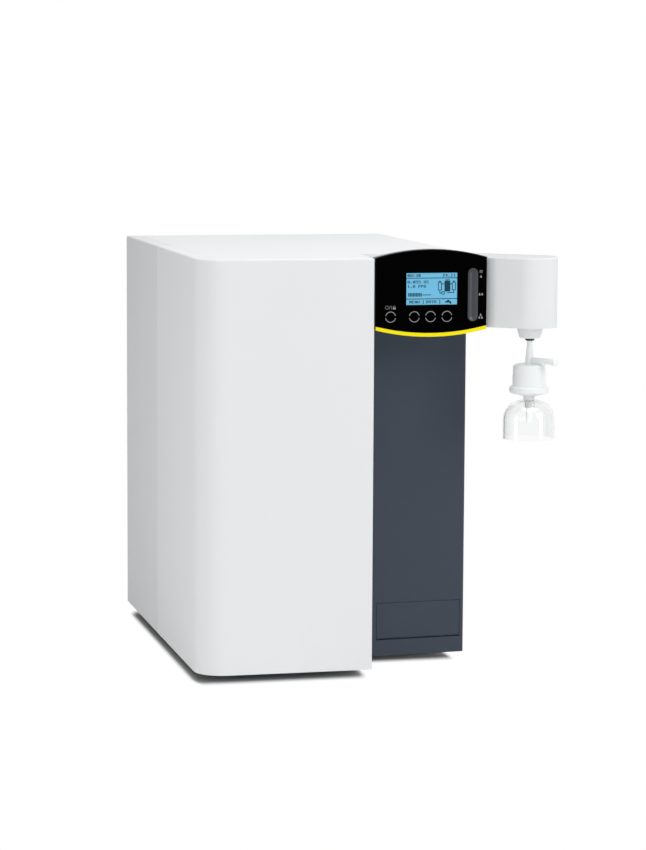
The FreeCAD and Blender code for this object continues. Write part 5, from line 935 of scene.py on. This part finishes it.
@dataclass
class Display:
    """Black glass with its screen, keys, flow groove and yellow strip.

    Keys are placed from the glass's left edge, the flow signs from its right edge, and all of
    them down from the cover's top.  Parts of the first key's sign are placed from its middle.
    `key_gap` is in degrees, and `key_taper` is the share of a ring's line at its ends.
    """

    screen_border: float = 5.0
    dot_share: float = 0.94
    dot_lift: float = 0.02
    print_lift: float = 0.04
    print_sink: float = 0.01
    keys_from_left: tuple[float, ...] = (18.7, 49.3, 70.3, 91.5)
    key_drop: float = 73.7
    key_radius: float = 6.45
    key_line: float = 0.44
    key_gap: float = 13.0
    key_taper: float = 0.55
    key_steps: int = 40
    sign_line: float = 0.35
    lock_drop: float = 61.8
    figure_half: float = 2.2
    nought_x: float = -4.9
    slash: Pair = (-2.0, -0.3)
    one_x: float = 1.2
    one_line: float = 0.4
    lock_body: tuple[float, float, float, float] = (2.9, 6.5, -2.3, 0.3)
    lock_shackle: tuple[float, float, float] = (4.7, 0.9, 1.4)
    signs_from_right: float = 7.6
    valve_drop: float = 17.9
    valve_half: float = 1.7
    valve_cross: float = 1.5
    water_drop: float = 1.15
    flow_drops: tuple[Pair, ...] = ((0.0, 24.3), (-1.7, 46.5), (1.7, 46.5), (0.0, 72.3),
                                                   (-1.7, 75.8), (1.7, 75.8))

    def build(self) -> None:
        """Dresses the display and prints its keys and signs."""
        dress(PANE, "display_glass")
        dress(STRIP, "accent_strip")
        dress(BLACK_GLOSS, "display_hood")
        dress(SCREEN, "lcd_module")
        dress(BOARD, "touch_board")
        dress(GROOVE, "flow_groove")
        glass = span("display_glass")
        top = span("front_cover")[1].z
        keys = [glass[0].x + offset for offset in self.keys_from_left]
        self._screen()
        self._keys([(x, glass[0].y - self.print_lift, top - self.key_drop) for x in keys])
        sheet = SignSheet(glass[0].y - self.print_lift, glass[0].y + self.print_sink)
        self._lock_sign(sheet, keys[0], top - self.lock_drop)
        self._flow_signs(sheet, glass[1].x - self.signs_from_right, top)
        add_piece("panel_signs", sheet.mesh("panel_signs"), PRINT, "housing")

    def _screen(self) -> None:
        """Dark dots on the screen's face."""
        screen = Screen()
        screen.compose()
        low, high = span("lcd_module")
        pitch = (high.x - low.x - 2 * self.screen_border) / screen.columns
        mesh = screen.mesh(low.x + self.screen_border, high.z - self.screen_border, low.y - self.dot_lift,
                           pitch, pitch * self.dot_share, SCREEN_INK)
        add_piece("screen_dots", mesh, SCREEN_INK, "housing")

    def _keys(self, spots: Sequence[Point]) -> None:
        """Split ring printed round each touch key.

        Args:
            spots: middles of the keys on the print's face.
        """
        pattern = Pattern("key_rings", [("Radius", NUMBER, 0.007), ("Line", NUMBER, 0.0005),
                                        ("Gap", NUMBER, 0.2)])
        wiring, takes = pattern.wiring, pattern.takes
        sweep = wiring.maths("SUBTRACT", math.pi, wiring.maths("MULTIPLY", takes["Gap"], 2.0))
        bow = wiring.add("GeometryNodeCurveArc", {"Resolution": self.key_steps, "Radius": takes["Radius"],
                                                  "Start Angle": takes["Gap"], "Sweep Angle": sweep})
        along = wiring.add("GeometryNodeSplineParameter").outputs["Factor"]
        swell = wiring.maths("SINE", wiring.maths("MULTIPLY", along, math.pi))
        swell = wiring.maths("ADD", wiring.maths("MULTIPLY", swell, 1.0 - self.key_taper), self.key_taper)
        line = wiring.add("GeometryNodeCurvePrimitiveLine", {"Start": (-1, 0, 0), "End": (1, 0, 0)})
        size = wiring.add("ShaderNodeCombineXYZ", {0: takes["Line"], 1: 1.0, 2: 1.0})
        slim = wiring.add("GeometryNodeTransform", {"Geometry": line.outputs[0], "Scale": size.outputs[0]})
        swelled = wiring.add("GeometryNodeSetCurveRadius", {"Curve": bow.outputs["Curve"], "Radius": swell})
        upper = wiring.add("GeometryNodeCurveToMesh", {"Curve": swelled.outputs[0],
                                                       "Profile Curve": slim.outputs[0]})
        lower = wiring.add("GeometryNodeTransform", {"Geometry": upper.outputs[0],
                                                     "Rotation": (0, 0, math.pi)})
        both = wiring.add("GeometryNodeJoinGeometry")
        wiring.tree.links.new(lower.outputs[0], both.inputs[0])
        wiring.tree.links.new(upper.outputs[0], both.inputs[0])
        spread = wiring.add("GeometryNodeInstanceOnPoints", {
            "Points": takes["Geometry"], "Instance": both.outputs[0], "Rotation": UPRIGHT})
        mesh = pattern.close(spread.outputs[0]).bake(
            points_mesh(spots), PRINT, Radius=self.key_radius * MM, Line=self.key_line * MM,
            Gap=math.radians(self.key_gap))
        add_piece("key_rings", self._forward(mesh), PRINT, "housing")

    @staticmethod
    def _forward(mesh: Mesh) -> Mesh:
        """Turns the faces of a flat print to the front.

        Args:
            mesh: the print.

        Returns:
            The same mesh.
        """
        work = bmesh.new()
        work.from_mesh(mesh)
        work.normal_update()
        bmesh.ops.reverse_faces(work, faces=[face for face in work.faces if face.normal.y > 0])
        work.to_mesh(mesh)
        work.free()
        return mesh

    def _lock_sign(self, sheet: SignSheet, x: float, z: float) -> None:
        """Nought, slash, one and padlock over the first key.

        Args:
            sheet: what it is printed on.
            x: x of the key's middle.
            z: z of the sign's middle.
        """
        half, line = self.figure_half, self.sign_line
        sheet.ring(x + self.nought_x, z, half, line)
        sheet.stroke((x + self.slash[0], z - half), (x + self.slash[1], z + half), line)
        sheet.stroke((x + self.one_x, z - half), (x + self.one_x, z + half), self.one_line)
        left, right, low, high = self.lock_body
        sheet.box(x + left, x + right, z + low, z + high)
        across, up, radius = self.lock_shackle
        sheet.ring(x + across, z + up, radius, line)

    def _flow_signs(self, sheet: SignSheet, x: float, top: float) -> None:
        """Closed valve and growing numbers of drops beside the groove.

        Args:
            sheet: what they are printed on.
            x: x of their middle.
            top: z of the cover's top.
        """
        z, half, cross, line = top - self.valve_drop, self.valve_half, self.valve_cross, self.sign_line
        sheet.border(x - half, x + half, z - half, z + half, line)
        sheet.stroke((x - cross, z - cross), (x + cross, z + cross), line)
        sheet.stroke((x - cross, z + cross), (x + cross, z - cross), line)
        for across, down in self.flow_drops:
            sheet.drop(x + across, top - down, self.water_drop)


@dataclass
class Dispenser:
    """Final filter and clear bell."""

    def build(self) -> None:
        """Dresses the filter and the bell."""
        dress(CAPSULE, "filter_upper", "filter_lower", "vent_cap")
        dress(MEMBRANE, "filter_pleats")
        dress(CLEAR, "dispense_bell")


@dataclass
class Interior:
    """Cartridges, water path and electrics."""

    def build(self) -> None:
        """Dresses what the housing holds."""
        dress(MOULD_WHITE, "cartridge_left", "cartridge_right", "docking_head", "ro_module", "vessel_clips",
              "valve_block")
        dress(STEEL, "uv_reactor", "conductivity_cells")
        dress(QUARTZ, "uv_lamp")
        dress(ENAMEL, "pump_motor")
        dress(BLACK, "pump_head", "solenoids")
        dress(DARK_RUBBER, "pump_cradle")
        dress(NICHE, "pressure_regulator")
        dress(HOSE, "water_tubing")
        dress(ZINC, "power_supply")
        dress(BOARD, "main_board")


@dataclass
class RearPanel:
    """Rear sheet with fan, inlet, switch and fittings."""

    def build(self) -> None:
        """Dresses the rear."""
        dress(ZINC, "rear_panel")
        dress(BLACK, "fan_frame", "fan_rotor", "mains_inlet", "fuse_drawer", "power_switch", "switch_rocker",
              "water_fittings", "data_socket")
        dress(STEEL, "fan_guard", "case_screws")


# ---- studio
@dataclass(frozen=True)
class Lamp:
    """One soft lamp; lengths in metres of the row, aimed at the machine's middle."""

    name: str
    spot: Point
    width: float
    height: float
    power: float


@dataclass
class Studio:
    """Plain pale floor, soft lamps and the camera.

    Angles are degrees and lengths are metres of the row, but `camera_spot` and the sizes of the
    painted shadow's two footprints, the cover's block and the column's wing, are millimetres of the
    machine.  The paper's colour carries a painted shadow: over the distances `contact` and
    `open_from` outside those footprints the paper brightens and turns into plain white.
    """

    ambient: float = 0.30
    floor_size: float = 14.0
    # Paper colour under the footprint and outside it: a painted shadow.
    painted_shadow_tones: Pair = (0.34, 0.95)
    contact: Pair = (-0.048, -0.007)
    open_from: Pair = (-0.027, 0.003)
    side_stretch: float = 3.4
    block_corner: float = 50.0
    block_side: float = 3.0
    block_front: float = 9.0
    wing_corner: float = 32.0
    wing_overlap: float = 100.0
    wing_front: float = 22.0
    wing_side: float = 4.0
    lamps: tuple[Lamp, ...] = (
        Lamp("lamp_top", (0.2, -0.5, 2.7), 1.9, 1.9, 36.0),
        Lamp("lamp_right", (1.7, -2.1, 1.7), 1.3, 1.3, 20.5),
        Lamp("lamp_strip", (1.75, -1.85, 0.62), 0.3, 1.25, 4.2),
        Lamp("lamp_fill", (-1.9, -2.6, 1.1), 2.2, 1.8, 8.0),
        Lamp("lamp_left", (-1.2, -0.58, 0.45), 0.4, 0.95, 2.3))
    aim: Point = (0.0, 0.0, 0.28)
    camera_spot: Point = (-671.5, -3490.3, 761.3)
    yaw: float = 13.354
    pitch: float = 6.907
    roll: float = 0.296
    lens: float = 122.87
    film: float = 36.0
    sight: float = 100.0

    def build(self) -> None:
        """Builds the floor, the lamps, the world and the camera."""
        self._world()
        self._floor()
        for lamp in self.lamps:
            self._lamp(lamp)
        self._camera()
        bpy.context.scene.view_settings.view_transform = "Standard"

    @staticmethod
    def _seen(wiring: Wiring) -> Socket:
        """Light Path value of 1 for camera, glossy and transmission rays.

        Args:
            wiring: the world's or the floor's wiring.

        Returns:
            The value's socket.
        """
        path = wiring.add("ShaderNodeLightPath").outputs
        either = wiring.maths("MAXIMUM", path["Is Camera Ray"], path["Is Glossy Ray"])
        return wiring.maths("MAXIMUM", either, path["Is Transmission Ray"])

    def _world(self) -> None:
        """World that lights evenly and shows white."""
        world = bpy.data.worlds.new("studio_world")
        bpy.context.scene.world = world
        wiring = Wiring.of(world)
        even = wiring.add("ShaderNodeBackground", {"Color": WHITE, "Strength": self.ambient})
        white = wiring.add("ShaderNodeBackground", {"Color": WHITE, "Strength": 1.0})
        mixed = wiring.add("ShaderNodeMixShader", {0: self._seen(wiring), 1: even.outputs[0],
                                                   2: white.outputs[0]})
        wiring.add("ShaderNodeOutputWorld", {"Surface": mixed.outputs[0]})

    def _floor(self) -> None:
        """Pale floor that keeps the machine's real shadow, plus a painted shadow: the paper's colour darkens
        under the footprint.
        """
        half = self.floor_size / 2
        mesh = bpy.data.meshes.new("floor")
        mesh.from_pydata([(-half, -half, 0), (half, -half, 0), (half, half, 0), (-half, half, 0)], [],
                         [(0, 1, 2, 3)])
        floor = new_object("floor", mesh)
        material = bpy.data.materials.new("floor_paper")
        wiring = Wiring.of(material)
        distance = self._outside(wiring)
        # Painted shadow: the paper's colour is dark under the footprint and brightens outside it.
        shade = self._between(wiring, distance, self.contact, self.painted_shadow_tones)
        paper = wiring.add("ShaderNodeBsdfDiffuse", {"Color": shade})
        white = wiring.add("ShaderNodeEmission", {"Color": WHITE, "Strength": 1.0})
        share = wiring.maths("MULTIPLY", self._seen(wiring),
                             self._between(wiring, distance, self.open_from, (0.0, 1.0)))
        both = wiring.add("ShaderNodeMixShader", {0: share, 1: paper.outputs[0], 2: white.outputs[0]})
        wiring.add("ShaderNodeOutputMaterial", {"Surface": both.outputs[0]})
        mesh.materials.append(material)

    @staticmethod
    def _between(wiring: Wiring, distance: Socket, reach: Pair, ends: Pair) -> Socket:
        """Smooth change from one value to another over a span of distance."""
        return wiring.add("ShaderNodeMapRange", {0: distance, 1: reach[0], 2: reach[1], 3: ends[0],
                                                 4: ends[1]}, interpolation_type="SMOOTHSTEP").outputs[0]

    def _outside(self, wiring: Wiring) -> Socket:
        """Distance outside the machine's footprint in metres, stretched along X, which shapes the painted
        shadow.

        Args:
            wiring: the floor's wiring.

        Returns:
            The distance's socket.
        """
        spot = wiring.spot()
        cover, back, column, side = (span(name) for name in ("front_cover", "left_rear_panel",
                                                             "column_fascia", "right_panel"))
        block = self._beyond(wiring, spot, (cover[0].x - self.block_side, cover[0].y + self.block_front),
                             (cover[1].x + self.block_side, back[1].y), self.block_corner)
        wing = self._beyond(wiring, spot, (cover[1].x - self.wing_overlap, column[0].y + self.wing_front),
                            (side[1].x - self.wing_side, back[1].y), self.wing_corner)
        return wiring.maths("MINIMUM", block, wing)

    def _beyond(self, wiring: Wiring, spot: Socket, low: Point, high: Point, corner: float) -> Socket:
        """Stretched distance outside a round-cornered footprint in metres.

        Args:
            wiring: the floor's wiring.
            spot: the floor point.
            low: the footprint's lowest x and y.
            high: its highest x and y.
            corner: its corner radius, and how far in the distance still falls.

        Returns:
            The distance's socket, negative inside.
        """
        middle = place((low[0] + high[0]) / 2, (low[1] + high[1]) / 2, 0)
        half = Vector(((high[0] - low[0]) / 2 * self.side_stretch - corner, (high[1] - low[1]) / 2 - corner,
                       0)) * MM
        shifted = wiring.vectors("SUBTRACT", spot, middle)
        aside = wiring.vectors("ABSOLUTE", wiring.vectors("MULTIPLY", shifted, (self.side_stretch, 1, 1)))
        past = wiring.vectors("MAXIMUM", wiring.vectors("SUBTRACT", aside, half))
        length = wiring.add("ShaderNodeVectorMath", {0: past}, operation="LENGTH")
        return wiring.maths("SUBTRACT", length.outputs["Value"], corner * MM)

    def _lamp(self, lamp: Lamp) -> None:
        """Adds one lamp.

        Args:
            lamp: its name, place, size and power.
        """
        data = bpy.data.lights.new(lamp.name, "AREA")
        data.shape = "RECTANGLE"
        data.size, data.size_y = lamp.width, lamp.height
        data.energy = lamp.power
        light = new_object(lamp.name, data)
        light.location = lamp.spot
        toward = Vector(self.aim) - Vector(lamp.spot)
        light.rotation_euler = toward.to_track_quat("-Z", "Y").to_euler()

    def _camera(self) -> None:
        """Places the camera by its turn, tilt and roll."""
        yaw, pitch, roll = (math.radians(angle) for angle in (self.yaw, self.pitch, self.roll))
        forward = Vector((math.sin(yaw) * math.cos(pitch), math.cos(yaw) * math.cos(pitch),
                          -math.sin(pitch)))
        level = Vector((math.cos(yaw), -math.sin(yaw), 0))
        upright = level.cross(forward)
        right = level * math.cos(roll) + upright * math.sin(roll)
        up = upright * math.cos(roll) - level * math.sin(roll)
        data = bpy.data.cameras.new("camera")
        data.sensor_width = self.film
        data.lens = self.lens
        data.clip_end = self.sight
        camera = new_object("camera", data)
        turn = Matrix((right, up, -forward)).transposed().to_4x4()
        camera.matrix_world = Matrix.Translation(place(*self.camera_spot)) @ turn
        bpy.context.scene.camera = camera


def main() -> None:
    """Builds every sub-assembly in order."""
    logging.basicConfig(level=logging.INFO, format="%(message)s")
    for assembly in (Housing(), Column(), Head(), Display(), Dispenser(), Interior(), RearPanel(), Studio()):
        assembly.build()
        log.info("built %s", type(assembly).__name__)


if __name__ == "__main__":
    main()
